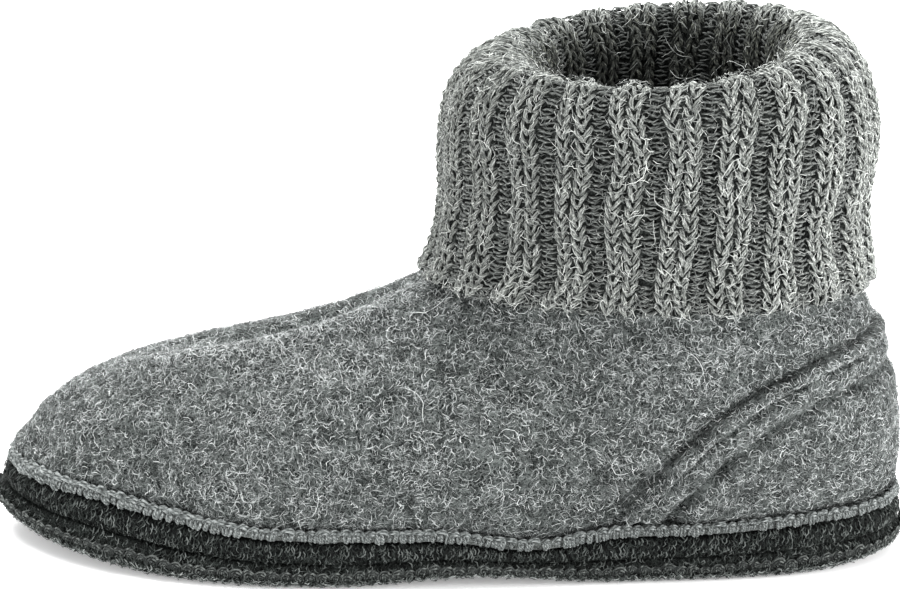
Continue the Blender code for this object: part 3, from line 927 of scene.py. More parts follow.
# Creases as lines over the felt: rise in mm, half width in mm, and points x, y, z in mm
VAMP_RIDGE = (
    (-100, -3, 52),
    (-80, -10, 58),
    (-65, -13, 61),
    (-52, -13, 64),
    (-36, -13, 69),
    (-20, -12, 76),
    (-4, -8, 84),
)
VAMP_FOLD = (
    (-88, 6, 58),
    (-72, 0, 62),
    (-58, -3, 65),
    (-44, -3, 68),
    (-30, -2, 73),
    (-16, 1, 79),
    (-2, 4, 85),
)
FOLD_SHADE = np.array(VAMP_FOLD) + (0, 3.0, 0)  # where the nap is thinned, as painted shade in the fold
ABOVE_SEAM = ((-118, -24, 24), (-90, -40, 22), (-50, -46, 20), (-10, -45, 18), (30, -41, 15), (60, -37, 18))
FELT_CREASES = (
    (3.4, 3.8, VAMP_RIDGE),
    (-3.8, 4.6, VAMP_FOLD),
    (-1.2, 8.0, ((8, -40, 84), (30, -43, 72), (44, -43, 56), (50, -42, 40))),
    (1.0, 10.0, ((-10, -37, 68), (6, -41, 56), (20, -43, 40))),
    (-0.8, 6.0, ABOVE_SEAM),
)
RELIEF_FOOT_ROWS = 0.4  # over which the felt's relief fades out towards the sole
RELIEF_TOP_ROWS = 1.5  # and towards the collar
FELT_OVER_SEAM = 1.0 * MM  # how far the felt swells over the seam that holds it down
FELT_OVER_SEAM_ROW = 0.55
FELT_OVER_SEAM_REACH = 0.3
SEAM_GROOVE = 1.2 * MM  # how far the seam draws the felt in
SEAM_GROOVE_ROW = 0.2
SEAM_GROOVE_REACH = 0.14
COUNTER_FRONT_ANGLE = math.radians(114)
COUNTER_FOOT = 5.4 * MM
COUNTER_TIP = 3 * MM
COUNTER_TOP = 71 * MM
COUNTER_SWEEP = 5
COUNTER_GROOVE = 1.9 * MM  # how far the seam of the heel counter draws the felt in
COUNTER_GROOVE_REACH = 2.8 * MM
COUNTER_BED = 1.2 * MM  # how far the felt is pressed in under the heel counter


def felt_foot(angle):
    """The line on the sole's top that the outer face of the felt stands on, just inside the cord."""
    line = footprint(angle, felt_inset(angle))
    line[..., 2] = sole_top_z(axis_x(angle)) + GAP
    return line


def upper_loops(row, angle):
    """Points on the planar loops of the upper's table."""
    columns = through_rows(UPPER_LOOPS, row)
    front_x, front_z, back_x, back_z = (columns[..., k] * MM for k in range(4))
    kept = columns[..., 8]
    share = (1 - np.cos(angle)) / 2
    x = front_x + (back_x - front_x) * share
    level_front = front_z - kept * sole_top_z(front_x)
    level_back = back_z - kept * sole_top_z(back_x)
    z = level_front + (level_back - level_front) * share + kept * sole_top_z(x)
    half = sine_curve(columns[..., 4:8] * MM, angle)
    return np.stack([x, kept * foot_centre(angle) - half, z], -1)


def upper_surface(row, angle):
    """Points of the upper's outer face: row 0 stands on the sole and the last row is the collar."""
    row, angle = np.broadcast_arrays(np.asarray(row, float), np.asarray(angle, float))
    seated = (np.clip(1 - row, 0, 1) ** 2)[..., None]
    return upper_loops(row, angle) + seated * (felt_foot(angle) - upper_loops(np.zeros_like(row), angle))


def normals(surface, row, angle, last_row):
    """Unit normals of a surface, on the side that shows."""
    step = 1e-3
    up = surface(np.minimum(row + step, last_row), angle) - surface(np.maximum(row - step, 0), angle)
    along = surface(row, angle + step) - surface(row, angle - step)
    across = np.cross(along, up)
    return across / np.linalg.norm(across, axis=-1, keepdims=True)


def line_distance(points, line):
    """Distance of each point from a line of points, and how far along the line it lies, from 0 to 1."""
    flat = points.reshape(-1, 3)
    best = np.full(len(flat), np.inf)
    along = np.zeros(len(flat))
    for k, (start, end) in enumerate(zip(line, line[1:])):
        span = end - start
        share = np.clip((flat - start) @ span / (span @ span), 0, 1)
        away = np.linalg.norm(flat - start - share[:, None] * span, axis=1)
        along = np.where(away < best, (k + share) / (len(line) - 1), along)
        best = np.minimum(best, away)
    return best.reshape(points.shape[:-1]), along.reshape(points.shape[:-1])


def crease(points, width, line):
    """1 on a crease, fading to its sides and towards its ends."""
    away, along = line_distance(points, np.array(line, float) * MM)
    return bell(away, 0, width * MM) * np.sqrt(np.sin(math.pi * np.clip(along, 0.01, 0.99)))


def felt_lumps(points, table):
    """How far the lumps of the felting rise."""
    return sum(rise * MM * lumps(points, spacing * MM, seed) for rise, spacing, seed in table)


def felt_relief(points):
    """How far the felt stands out from the last: the lumps of the felting and the creases of wear."""
    proud = felt_lumps(points, UPPER_LUMPS)
    for rise, width, line in FELT_CREASES:
        proud = proud + rise * MM * crease(points, width, line)
    return proud


def toe_blend(angle):
    """1 round the tip of the toe, where felt and seam run into each other, and 0 from the ball on."""
    return ramp(np.cos(angle), 0.72, 0.92)


def toe_overhang(angle):
    """1 on the inner side of the toe's tip, where the felt hangs over the seam."""
    past_tip = math.pi - np.mod(angle + math.pi, 2 * math.pi)
    return ramp(past_tip, -0.1, 0.12) * (1 - ramp(past_tip, 0.6, 1.0))


def counter_span(angle):
    """Rows of the upper at the foot and at the edge of the counter."""
    along = 1 - abs(angle - math.pi) / (math.pi - COUNTER_FRONT_ANGLE)
    fine = np.linspace(0, UPPER_LAST_ROW, 360)
    heights = upper_surface(fine, angle)[:, 2]
    foot = sole_top_z(upper_surface(0, angle)[0]) + COUNTER_FOOT
    tip = foot + COUNTER_TIP
    edge = tip + (COUNTER_TOP - tip) * (1 - (1 - along) ** COUNTER_SWEEP)
    return np.interp(foot, heights, fine), np.interp(edge, heights, fine)


# Boiled wool, felted thick by heat and rubbing: dark between its matted hairs, and quite matt
boiled_wool = wool_ground(
    "grey boiled wool",
    ((0.05, "#030504"), (0.4, "#191d1c"), (0.9, "#656a68")),
    tangle=1.9 * MM,
    depth=0.5 * MM,
    sheen=0.05,
)
# The fibre that stands loose on it, from near black to pale: together they give a mottled grey
felt_fibre = wool_fibre(
    "loose grey wool fibre", ((0.0, "#080a09"), (0.35, "#2c302f"), (0.7, "#6a6e6d"), (1.0, "#c6cac9")), 0.06
)
# The same fibre in pale shades, strewn as painted highlight: the palest on the slipper
highlight_fibre = wool_fibre(
    "pale wool fibre for painted highlight", ((0.0, "#6a6e6d"), (0.35, "#969a99"), (0.7, "#b8bcbb"), (1.0, "#dde0df")), 0.1
)
columns = np.linspace(0, 2 * math.pi, UPPER_COLUMNS, endpoint=False)
rows = np.linspace(0, UPPER_LAST_ROW, UPPER_ROWS)
row_grid, angle_grid = np.meshgrid(rows, columns, indexing="ij")
last_face = upper_surface(row_grid, angle_grid)
edge_angles = np.linspace(COUNTER_FRONT_ANGLE, 2 * math.pi - COUNTER_FRONT_ANGLE, 60)
counter_edge = np.array([upper_surface(counter_span(angle)[1], angle) for angle in edge_angles])
near_counter = bell(line_distance(last_face, counter_edge)[0], 0, COUNTER_GROOVE_REACH)
covered = np.zeros(last_face.shape[:2], bool)
for c, angle in enumerate(columns):
    if COUNTER_FRONT_ANGLE < angle < 2 * math.pi - COUNTER_FRONT_ANGLE:
        covered[:, c] = rows < counter_span(angle)[1] - 0.1
proud = felt_relief(last_face) * ~covered - np.maximum(COUNTER_GROOVE * near_counter, COUNTER_BED * covered)
at_foot = np.clip(row_grid / RELIEF_FOOT_ROWS, 0, 1)
at_top = np.clip((UPPER_LAST_ROW - row_grid) / RELIEF_TOP_ROWS, 0, 1)
swell = FELT_OVER_SEAM * (1 + 1.6 * toe_blend(angle_grid) + 0.8 * toe_overhang(angle_grid))
proud = proud * (at_foot * at_top) + swell * bell(row_grid, FELT_OVER_SEAM_ROW, FELT_OVER_SEAM_REACH)
groove = SEAM_GROOVE * (1 - toe_blend(angle_grid))
proud = proud - groove * bell(row_grid, SEAM_GROOVE_ROW, SEAM_GROOVE_REACH)
felt_normals = normals(upper_surface, row_grid, angle_grid, UPPER_LAST_ROW)
outer = last_face + felt_normals * proud[..., None]
back_rows = np.linspace(UPPER_LAST_ROW, 0, UPPER_BACK_ROWS)
back_grid, back_angles = np.meshgrid(back_rows, columns, indexing="ij")
back_normals = normals(upper_surface, back_grid, back_angles, UPPER_LAST_ROW)
inner = upper_surface(back_grid, back_angles) - FELT * back_normals
inner[0, :, 2] = outer[-1, :, 2]
inner[-1, :, 2] = outer[0, :, 2]
faces, places = sleeve_faces(UPPER_ROWS + UPPER_BACK_ROWS, UPPER_COLUMNS, closed_over=True)
upper = make_piece("upper_felt", np.concatenate([outer, inner]), faces, places, boiled_wool)
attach(upper, "root")
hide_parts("upper")

# Its nap, in clumps. Counter and cuff cover part of the felt, and in places the nap is thinned as painted
# shade.
shown = (~covered) & (rows[:, None] < UPPER_NAP_TOP_ROW) & (rows[:, None] > 0.05)
# Thinned along the counter's edge, below the cuff's hem, just above the seam and in the fold: painted shade
clumped = np.clip(0.85 + 1.3 * lumps(outer, 4.2 * MM, 6.6), 0.1, 1.7) * (1 - 0.85 * near_counter)
clumped = clumped * (1 + 0.35 * lumps(last_face, 32 * MM, 2.4)) * (1 - 0.5 * ramp(row_grid, 6.2, 7.4))
clumped = clumped * (1 - 0.85 * (1 - toe_blend(angle_grid)) * (1 - ramp(row_grid, 0.12, 0.4)))
clumped = clumped * (1 - 0.9 * crease(last_face, 4.5, FOLD_SHADE)) * shown
in_front = outer[..., 0] < NAP_SPLIT_X
# Pale fibre along the crest of the vamp's ridge: painted highlight
worn = crease(last_face, 3.0, VAMP_RIDGE) * shown
# Pale fuzz, thicker where the felt faces up and kept off the fold: painted highlight over the top
standing = shown * (1 + 3 * ramp(felt_normals[..., 2], 0.6, 0.9)) * (1 - crease(last_face, 7.0, FOLD_SHADE))
nap_curls = fibre_curls(
    "nap_curls", length=2.3 * MM, width=0.2 * MM, bend=2.7, lift=1.1 * MM, seed=21, kinds=((2, 1.0), (1, 0.7))
)
standing_curls = fibre_curls(
    "standing_fuzz",
    length=3.0 * MM,
    width=0.08 * MM,
    bend=1.4,
    lift=3.4 * MM,
    seed=46,
    kinds=((2, 1.0), (1, 0.8)),
)
long_hairs = fibre_curls(
    "long_hairs", length=11 * MM, width=0.12 * MM, bend=2.6, lift=2.2 * MM, seed=45, kinds=((8, 1.0),)
)
for name, share, curls, per_square_metre, sizes, seed, fibre in (
    ("upper_nap_front", clumped * in_front, nap_curls, UPPER_NAP_PER_M2, (0.6, 1.3), 41, felt_fibre),
    ("upper_nap_back", clumped * ~in_front, nap_curls, UPPER_NAP_PER_M2, (0.6, 1.3), 43, felt_fibre),
    ("upper_worn_nap", worn, nap_curls, HIGHLIGHT_NAP_PER_M2, (0.5, 1.1), 44, highlight_fibre),
    ("upper_standing_fuzz", standing, standing_curls, UPPER_FUZZ_PER_M2, (0.6, 1.3), 48, highlight_fibre),
    ("upper_long_hairs", shown, long_hairs, UPPER_HAIRS_PER_M2, (0.5, 1.3), 47, felt_fibre),
):
    upper_nap = nap_piece(name, upper, share, curls, per_square_metre, sizes, seed, fibre)
    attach(upper_nap, "root")
drop_set(standing_curls)
drop_set(long_hairs)


# Heel counter: a second layer of the same felt, 1.6 mm thick, laid over the heel from the waist up. It is
# sewn down along its edge, and a second line of sewing inside it stiffens the cup.
COUNTER_FELT = 1.6 * MM
COUNTER_CLEAR = 0.5 * MM
COUNTER_COLUMNS = 180
COUNTER_ROWS = 52
COUNTER_BACK_STEP = 7
COUNTER_NAP_PER_M2 = 2.8e6
COUNTER_ROUND = 2.0 * MM  # how far its edge is rounded
COUNTER_ROLL = 0.8 * MM  # how far the sewn edge swells
# Sewn lines as distance from its edge, depth and half width, in mm
COUNTER_LINES = ((4.3, 1.1, 0.9), (12.5, 2.6, 2.0))
COUNTER_LUMPS = ((0.35, 12.0, 6.1), (0.25, 4.5, 9.3))  # rise and spacing in mm, and seed

counter_angles = np.linspace(COUNTER_FRONT_ANGLE, 2 * math.pi - COUNTER_FRONT_ANGLE, COUNTER_COLUMNS)
spans = np.array([counter_span(angle) for angle in counter_angles])
shares = np.linspace(0, 1, COUNTER_ROWS) ** 0.8
row_grid = spans[:, 0] + (spans[:, 1] - spans[:, 0]) * shares[:, None]
angle_grid = np.broadcast_to(counter_angles, row_grid.shape)
skin = upper_surface(row_grid, angle_grid)
outwards = normals(upper_surface, row_grid, angle_grid, UPPER_LAST_ROW)
from_edge = line_distance(skin, skin[-1])[0]
proud = COUNTER_CLEAR + COUNTER_FELT + felt_lumps(skin, COUNTER_LUMPS)
# Where the nap is thinned: at the edge and along the sewn lines, as painted shade in the grooves
groove_shade = bell(from_edge, 0, 1.0 * MM)
for away, depth, width in COUNTER_LINES:
    drawn_in = bell(from_edge, away * MM, width * MM)
    proud = proud - depth * MM * drawn_in * (1 + 0.7 * lumps(skin, 11 * MM, 1.7))
    groove_shade = groove_shade + (1.0 + 0.9 * lumps(skin, 9 * MM, 3.3)) * drawn_in
proud = proud + COUNTER_ROLL * bell(from_edge, 2.0 * MM, 1.1 * MM)
rounded = np.clip(from_edge / COUNTER_ROUND, 0, 1)
proud = (proud + COUNTER_GROOVE) * np.sqrt(1 - (1 - rounded) ** 2) - COUNTER_GROOVE
face = skin + outwards * proud[..., None]
behind = np.minimum(-COUNTER_BED + 0.2 * MM, proud - 0.3 * MM)
underside = (skin + outwards * behind[..., None])[::-COUNTER_BACK_STEP]
points = np.concatenate([face, underside])
faces, places = sleeve_faces(len(points), COUNTER_COLUMNS, closed_over=True, closed_round=False)
counter = make_piece("heel_counter_felt", points, faces, places, boiled_wool)
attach(counter, "root")
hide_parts("heel_counter")

# Its nap, thinned at the edge and along the sewing so that the dark ground shows as painted shade, and pale
# on the rolled edge as painted highlight
highlight_edge = 0.35 * bell(from_edge, 2.4 * MM, 1.3 * MM)
for name, share, per_square_metre, sizes, seed, fibre in (
    ("heel_counter_nap", np.clip(1 - groove_shade, 0, 1), COUNTER_NAP_PER_M2, (0.6, 1.3), 31, felt_fibre),
    ("heel_counter_worn_nap", highlight_edge, HIGHLIGHT_NAP_PER_M2, (0.5, 1.1), 44, highlight_fibre),
):
    counter_nap = nap_piece(name, counter, share, nap_curls, per_square_metre, sizes, seed, fibre)
    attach(counter_nap, "root")
drop_set(nap_curls)


# Seam binding: pale wool yarn overlocked over the joint of felt and sole. It wraps a cord of its own loops,
# one wrap for each stitch, and a smaller loop lies along the lower side of each.
SEAM_PITCH = 3.5 * MM
SEAM_FUZZ_PER_M2 = 0.9e6
SEAM_WRAP_RADIUS = 0.55 * MM
SEAM_BEAD_RADIUS = 0.45 * MM
SEAM_COLUMNS = 690
SEAM_SIDES = 10
SEAM_KINDS = 8
PLIES = 3  # strands in a yarn


def cord_share(angle):
    """The cord's thickness as a share of its full one: the felt that hangs over it flattens it."""
    return 1 - 0.6 * toe_overhang(angle)


def cord_line(angle):
    """The middle of the seam's cord."""
    line = footprint(angle, cord_inset(angle))
    line[..., 2] = sole_top_z(axis_x(angle)) + GAP + CORD_RADIUS_UP * cord_share(angle)
    return line


def plied(draw, middle, turns, reach):
    """Strands of yarn wound round a middle line, at this reach from it."""
    strands = []
    for strand in range(PLIES):
        turn = 2 * math.pi * strand / PLIES + turns + draw.uniform(-0.4, 0.4)
        strands.append(middle + np.stack([0 * turn, reach * np.cos(turn), reach * np.sin(turn)], 1))
    return strands


def seam_stitches(draw, name, angle, shapes, seed):
    """A stitch at each angle of the seam, pointing out and up. Those round the toe are longer."""
    line = cord_line(angle)
    out = line - footprint(angle, cord_inset(angle) + 5 * MM)
    out[:, 2] = 2.2 * MM
    along = cord_line(angle + 1e-3) - cord_line(angle - 1e-3)
    size = (1 + 0.45 * toe_share(angle)) * cord_share(angle) * draw.uniform(0.85, 1.15, len(angle))
    return stitch_piece(name, line, out, along, size[:, None], shapes, seed, pale_yarn)


# Spun wool yarn, hardly dyed: a pale grey with darker streaks along its twist
pale_yarn = spun_yarn(
    "pale overlock yarn",
    ((0.25, "#151817"), (0.45, "#494d4c"), (0.6, "#727675"), (0.78, "#a2a6a5")),
    streaks=44.0,
    twist=0.5,
    sheen=0.05,
)
# The same yarn, matted into a cord: darker, because it lies in the shade of the loops
seam_ground = wool_ground(
    "matted overlock yarn",
    ((0.1, "#0e100f"), (0.45, "#2c2f2e"), (0.85, "#626664")),
    tangle=1.6 * MM,
    depth=0.3 * MM,
    sheen=0.1,
)
angles, _ = even_angles(cord_line, SEAM_COLUMNS)
radius_out = CORD_RADIUS_OUT * cord_share(angles)
radius_up = CORD_RADIUS_UP * cord_share(angles)
sections = []
for side in range(SEAM_SIDES):
    turn = 2 * math.pi * (side + 0.5) / SEAM_SIDES
    ring = footprint(angles, cord_inset(angles) + 0.8 * radius_out * math.cos(turn))
    ring[:, 2] = sole_top_z(axis_x(angles)) + GAP + radius_up * (1 + 0.85 * math.sin(turn))
    sections.append(ring)
faces, places = sleeve_faces(SEAM_SIDES, SEAM_COLUMNS, closed_over=True)
seam = make_piece("seam_cord", np.array(sections), faces, places, seam_ground)
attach(seam, "root")
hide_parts("seam_binding")

draw = np.random.default_rng(51)
seam_wraps = shape_set("seam_wraps")
for tile in range(SEAM_KINDS):
    x = np.array((-1.9, -1.15, 0.0, 1.15, 1.9)) * draw.uniform(0.9, 1.1)
    bow = np.array((-0.5, 0.15, 0.35, 0.1, -0.55)) * draw.uniform(0.7, 1.3)
    y = 0.8 + bow + draw.uniform(-0.05, 0.3) * x
    z = 0.7 + np.array((-0.6, 0.3, 0.6, 0.3, -0.6))
    middle = (np.stack([x, y, z], 1) + draw.normal(0, 0.08, (5, 3))) * MM
    strands = plied(draw, middle, 0.7 * x, SEAM_WRAP_RADIUS * 0.75)
    radii = np.full(5, SEAM_WRAP_RADIUS * draw.uniform(0.7, 0.85))
    yarn_piece(f"seam_wrap_{tile}", strands, radii, 4, tile, seam_wraps)
seam_beads = shape_set("seam_beads")
for tile in range(SEAM_KINDS):
    y = np.array((0.5, -0.35, -1.05, -1.5)) * draw.uniform(0.8, 1.15)
    z = np.array((0.9, 1.25, 1.05, 0.4))
    strands = []
    for side in (-1, 1):
        x = side * np.array((0.25, 0.36, 0.34, 0.15)) + draw.uniform(-0.2, 0.35) * y
        strands.append((np.stack([x, y, z], 1) + draw.normal(0, 0.07, (4, 3))) * MM)
    radii = np.full(4, SEAM_BEAD_RADIUS * draw.uniform(0.8, 1.1))
    yarn_piece(f"seam_bead_{tile}", strands, radii, 4, SEAM_KINDS + tile, seam_beads)
stitch_count = round(line_length(cord_line) / SEAM_PITCH)
stitch_angles, _ = even_angles(cord_line, stitch_count)
seam_loops = seam_stitches(draw, "seam_loops", stitch_angles, seam_wraps, 3)
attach(seam_loops, "root")
bead_angles, _ = even_angles(cord_line, 2 * stitch_count)
bead_angles = bead_angles + draw.normal(0, 0.15, 2 * stitch_count) * (bead_angles[1] - bead_angles[0])
seam_edge = seam_stitches(draw, "seam_edge_loops", bead_angles, seam_beads, 4)
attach(seam_edge, "root")
drop_set(seam_wraps)
drop_set(seam_beads)

# Loose fibre of felt and yarn over the seam, thickest round the toe
seam_curls = fibre_curls("seam_curls", length=2.2 * MM, width=0.16 * MM, bend=1.8, lift=2.4 * MM, seed=55)
seam_share = np.broadcast_to(1 + 2.5 * toe_blend(angles), (SEAM_SIDES, SEAM_COLUMNS))
seam_fuzz = nap_piece("seam_fuzz", seam, seam_share, seam_curls, SEAM_FUZZ_PER_M2, (0.5, 1.2), 57, felt_fibre)
drop_set(seam_curls)
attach(seam_fuzz, "root")


# Cuff: a tube knitted in a rib of two plain and two purl stitches, sewn to the collar and turned down over
# it. Each plain stitch shows as a V of two yarn legs; the purl stitches lie deep in the valleys between.
CUFF_LOOPS = (  # front x and z, back x and z, half width, thickness in mm, gather of the ribs in radians
    (-9.3, 87.2, 129.6, 85.5, 46.0, 3.4, 0.00),
    (-5.0, 96.0, 128.0, 95.0, 47.0, 4.4, 0.00),
    (-2.8, 110.0, 126.9, 110.0, 47.5, 4.8, 0.00),
    (-3.0, 126.0, 129.4, 128.0, 47.5, 4.8, 0.01),
    (-1.0, 141.0, 127.8, 144.0, 47.0, 4.8, 0.04),
    (5.0, 151.0, 122.2, 156.5, 45.2, 4.8, 0.10),
    (15.5, 155.6, 112.5, 163.2, 41.5, 4.8, 0.16),
    (25.0, 152.5, 103.5, 160.0, 36.5, 4.8, 0.20),
    (29.0, 143.5, 99.5, 149.5, 34.0, 4.8, 0.20),
    (23.0, 126.0, 105.0, 128.0, 34.5, 4.8, 0.14),
    (8.0, 101.0, 117.5, 101.0, 36.4, 4.4, 0.04),
)
CUFF_LAST_ROW = len(CUFF_LOOPS) - 1
RIM_SAG = 3.0 * MM  # how far the soft rim sags on the outer side
RIM_SAG_ANGLE = math.radians(112)
RIB_COUNT = 22
RIB_SPACING_ROW = 3
RIB_DEPTH = 2.6 * MM
RIB_STEPS = (0.0, 0.13, 0.24, 0.50, 0.76, 0.87, 1.0)
RIB_RISES = (0.0, 0.08, 0.78, 1.0, 0.78, 0.08, 0.0)
CUFF_WALL_COLUMNS = 16  # of each rib
CUFF_WALL_ROWS = 44
CUFF_BACK_ROWS = 10
WALL_SUNK = 1.1 * MM  # how far the wall lies under the faces of the stitches
STITCH_ROW = 3.4 * MM
WALE_SHARE = 0.174  # of a rib's width, from its middle to the middle of a column of stitches
LEG_FOOT_SHARE = 0.012
LEG_HEAD_SHARE = 0.136
LEG_RADIUS = 0.74 * MM
LEG_KINDS = 16
LEG_TWIST = 2.4  # radians over a leg
PURL_RADIUS = 0.4 * MM
CREST_ROW = 7.3  # past it the tube turns inside
LAST_STITCH_ROW = 9.0  # deeper inside, the knit can't be seen
CUFF_FUZZ_PER_M2 = 0.5e6
CUFF_HAIRS_PER_M2 = 1.0e4
LEG_SUNK = 0.35 * MM  # how deep the ends of a leg lie in the rib
PURL_LIFT = 0.35 * MM
PURL_SIDE = 0.045  # of a rib's width, from the valley's middle to a column of purl stitches
PURL_HALF = 0.12  # half the width of a purl stitch, as a share of a rib's width
FUZZ_LIFT = 0.5 * MM
FUZZ_TOP_ROW = 8.4


def cuff_surface(row, angle):
    """Points of the smooth sheet that the cuff's ribs stand on: row 0 is the hem."""
    row, angle = np.broadcast_arrays(np.asarray(row, float), np.asarray(angle, float))
    columns = through_rows(CUFF_LOOPS, row)
    front_x, front_z, back_x, back_z, half = (columns[..., k] * MM for k in range(5))
    gathered = angle - columns[..., 6] * np.sin(2 * angle)
    share = (1 - np.cos(gathered)) / 2
    x = front_x + (back_x - front_x) * share
    z = front_z + (back_z - front_z) * share
    sagging = np.clip(np.cos(angle - RIM_SAG_ANGLE), 0, None) ** 2
    z = z - RIM_SAG * sagging * ramp(row, 3.0, 6.0) * (1 - ramp(row, 7.5, CUFF_LAST_ROW))
    return np.stack([x, -half * np.sin(gathered), z], -1)


spacing_angles, _ = even_angles(lambda at: cuff_surface(RIB_SPACING_ROW, at), 3600)


def rib_angle(place):
    """The angle at a place counted in ribs, where whole numbers are the middles of ribs."""
    turns = np.asarray(place, float) / RIB_COUNT
    known = np.append(spacing_angles, 2 * math.pi)
    whole = np.floor(turns)
    return np.interp(turns - whole, np.linspace(0, 1, len(known)), known) + 2 * math.pi * whole


def rib_sway(row, place):
    """How far the soft ribs sway to the side, as a share of a rib's width."""
    turn = 2 * math.pi * place / RIB_COUNT
    return 0.05 * np.sin(1.9 * row + 5 * turn) + 0.045 * np.sin(3.1 * row - 3 * turn + 1.0)


def on_cuff(row, place, height):
    """Points at a height over the bottoms of the valleys, and the face's normals there."""
    row, place, height = np.broadcast_arrays(np.asarray(row, float), place, height)
    angle = rib_angle(place + rib_sway(row, place))
    face = normals(cuff_surface, row, angle, CUFF_LAST_ROW)
    return cuff_surface(row, angle) + face * (height - RIB_DEPTH)[..., None], face


def rib_rise(place):
    """Share of the rib's depth at a place."""
    return np.interp(np.mod(np.asarray(place) + 0.5, 1), RIB_STEPS, RIB_RISES)


# The knit's back and depth, which lie in the shade of its stitches: near black
shaded_knit = wool_ground(
    "grey knit under its stitches",
    ((0.1, "#060707"), (0.45, "#161817"), (0.85, "#373a38")),
    tangle=1.6 * MM,
    depth=0.4 * MM,
)
# Grey wool spun soft: pale and matt, with darker streaks that follow its twist
rib_yarn = spun_yarn(
    "grey rib-knit yarn",
    ((0.24, "#292c2a"), (0.42, "#606360"), (0.6, "#919490"), (0.78, "#c1c4bf")),
    streaks=46.0,
    twist=0.6,
    sheen=0.05,
)
# The same yarn inside the tube, in painted shade: darker and a little warmer
shaded_inner_yarn = spun_yarn(
    "grey rib-knit yarn inside",
    ((0.24, "#181a19"), (0.42, "#3b3d3b"), (0.6, "#636661"), (0.78, "#949689")),
    streaks=46.0,
    twist=0.6,
)
# The same yarn in the valleys, where little light reaches
purl_yarn = spun_yarn(
    "grey purl yarn",
    ((0.25, "#1d1f1e"), (0.5, "#505351"), (0.78, "#979a96")),
    streaks=40.0,
    twist=0.6,
    sheen=0.05,
)
# The yarn's loose fibre: a pale fuzz over the stitches
cuff_fibre = wool_fibre(
    "loose cuff fibre", ((0.0, "#2e3130"), (0.4, "#646765"), (0.75, "#9a9d9a"), (1.0, "#d0d3cf")), 0.05
)
wall_places = np.arange(RIB_COUNT * CUFF_WALL_COLUMNS) / CUFF_WALL_COLUMNS
wall_rows = np.linspace(0, CUFF_LAST_ROW, CUFF_WALL_ROWS)
row_grid, place_grid = np.meshgrid(wall_rows, wall_places, indexing="ij")
wall, _ = on_cuff(row_grid, place_grid, rib_rise(place_grid) * (RIB_DEPTH - WALL_SUNK) - 0.2 * MM)
back_rows = np.linspace(CUFF_LAST_ROW, 0, CUFF_BACK_ROWS)
back_grid, back_places = np.meshgrid(back_rows, wall_places, indexing="ij")
thickness = through_rows(CUFF_LOOPS, back_grid)[..., 5] * MM
wall_back, _ = on_cuff(back_grid, back_places, RIB_DEPTH - thickness)
faces, places = sleeve_faces(CUFF_WALL_ROWS + CUFF_BACK_ROWS, len(wall_places), closed_over=True)
cuff = make_piece("cuff_wall", np.concatenate([wall, wall_back]), faces, places, shaded_knit)
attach(cuff, "root")
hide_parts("cuff")

# Rows of stitches, spaced along the face as it runs over the side of the shoe
fine_rows = np.linspace(0, CUFF_LAST_ROW, 2001)
side_run = np.linalg.norm(np.diff(cuff_surface(fine_rows, math.pi / 2), axis=0), axis=1)
side_run = np.concatenate([[0], np.cumsum(side_run)])
stitch_rows = int(np.interp(LAST_STITCH_ROW, fine_rows, side_run) / STITCH_ROW)


def row_at(count):
    """The table's row that lies this many rows of stitches above the hem."""
    return np.interp(np.asarray(count) * STITCH_ROW, side_run, fine_rows)


draw = np.random.default_rng(61)
legs = shape_set("knit_legs")
x = np.array((-0.54, -0.3, 0.0, 0.3, 0.54))
for tile in range(LEG_KINDS):
    rise = 0.9 * MM * (np.cos(math.pi * x) - 0.62) - 0.45 * MM * x
    middle = np.stack([x, draw.normal(0, 0.1 * MM, 5), rise], 1)
    radii = LEG_RADIUS * np.array((0.5, 0.95, 1.0, 0.95, 0.55)) * draw.uniform(0.92, 1.08)
    strands = plied(draw, middle, LEG_TWIST * x, radii * 0.55)
    yarn_piece(f"knit_leg_{tile:02}", strands, radii * 0.5, 3, tile, legs)
crest_row = int(np.interp(CREST_ROW, fine_rows, side_run) / STITCH_ROW)
# Past the crest, inside the tube, the stitches take the yarn that is painted darker as shade
for name, first, end, yarn in (
    ("cuff_stitches", 0, crest_row, rib_yarn),
    ("cuff_inner_stitches", crest_row, stitch_rows, shaded_inner_yarn),
):
    grids = np.meshgrid(np.arange(first, end), np.arange(RIB_COUNT), (-1, 1), (-1, 1), indexing="ij")
    row_count, rib, wale, side = (grid.ravel() for grid in grids)
    middle = rib + wale * WALE_SHARE
    drift = draw.normal(0, 0.08, len(row_count))
    foot_place = middle + side * LEG_FOOT_SHARE + draw.normal(0, 0.006, len(row_count))
    head_place = middle + side * LEG_HEAD_SHARE + draw.normal(0, 0.010, len(row_count))
    foot_row, head_row = row_at(row_count - 0.14 + drift), row_at(row_count + 1.14 + drift)
    foot, _ = on_cuff(foot_row, foot_place, rib_rise(foot_place) * RIB_DEPTH - LEG_SUNK)
    head, _ = on_cuff(head_row, head_place, rib_rise(head_place) * RIB_DEPTH - LEG_SUNK)
    _, out = on_cuff(row_at(row_count + 0.5), (foot_place + head_place) / 2, 0.0)
    lengths = np.linalg.norm(head - foot, axis=1)
    size = np.stack([lengths, draw.uniform(0.85, 1.1, len(foot)), draw.uniform(0.85, 1.2, len(foot))], 1)
    knit = stitch_piece(name, (foot + head) / 2, out, head - foot, size, legs, 7, yarn)
    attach(knit, "root")
drop_set(legs)

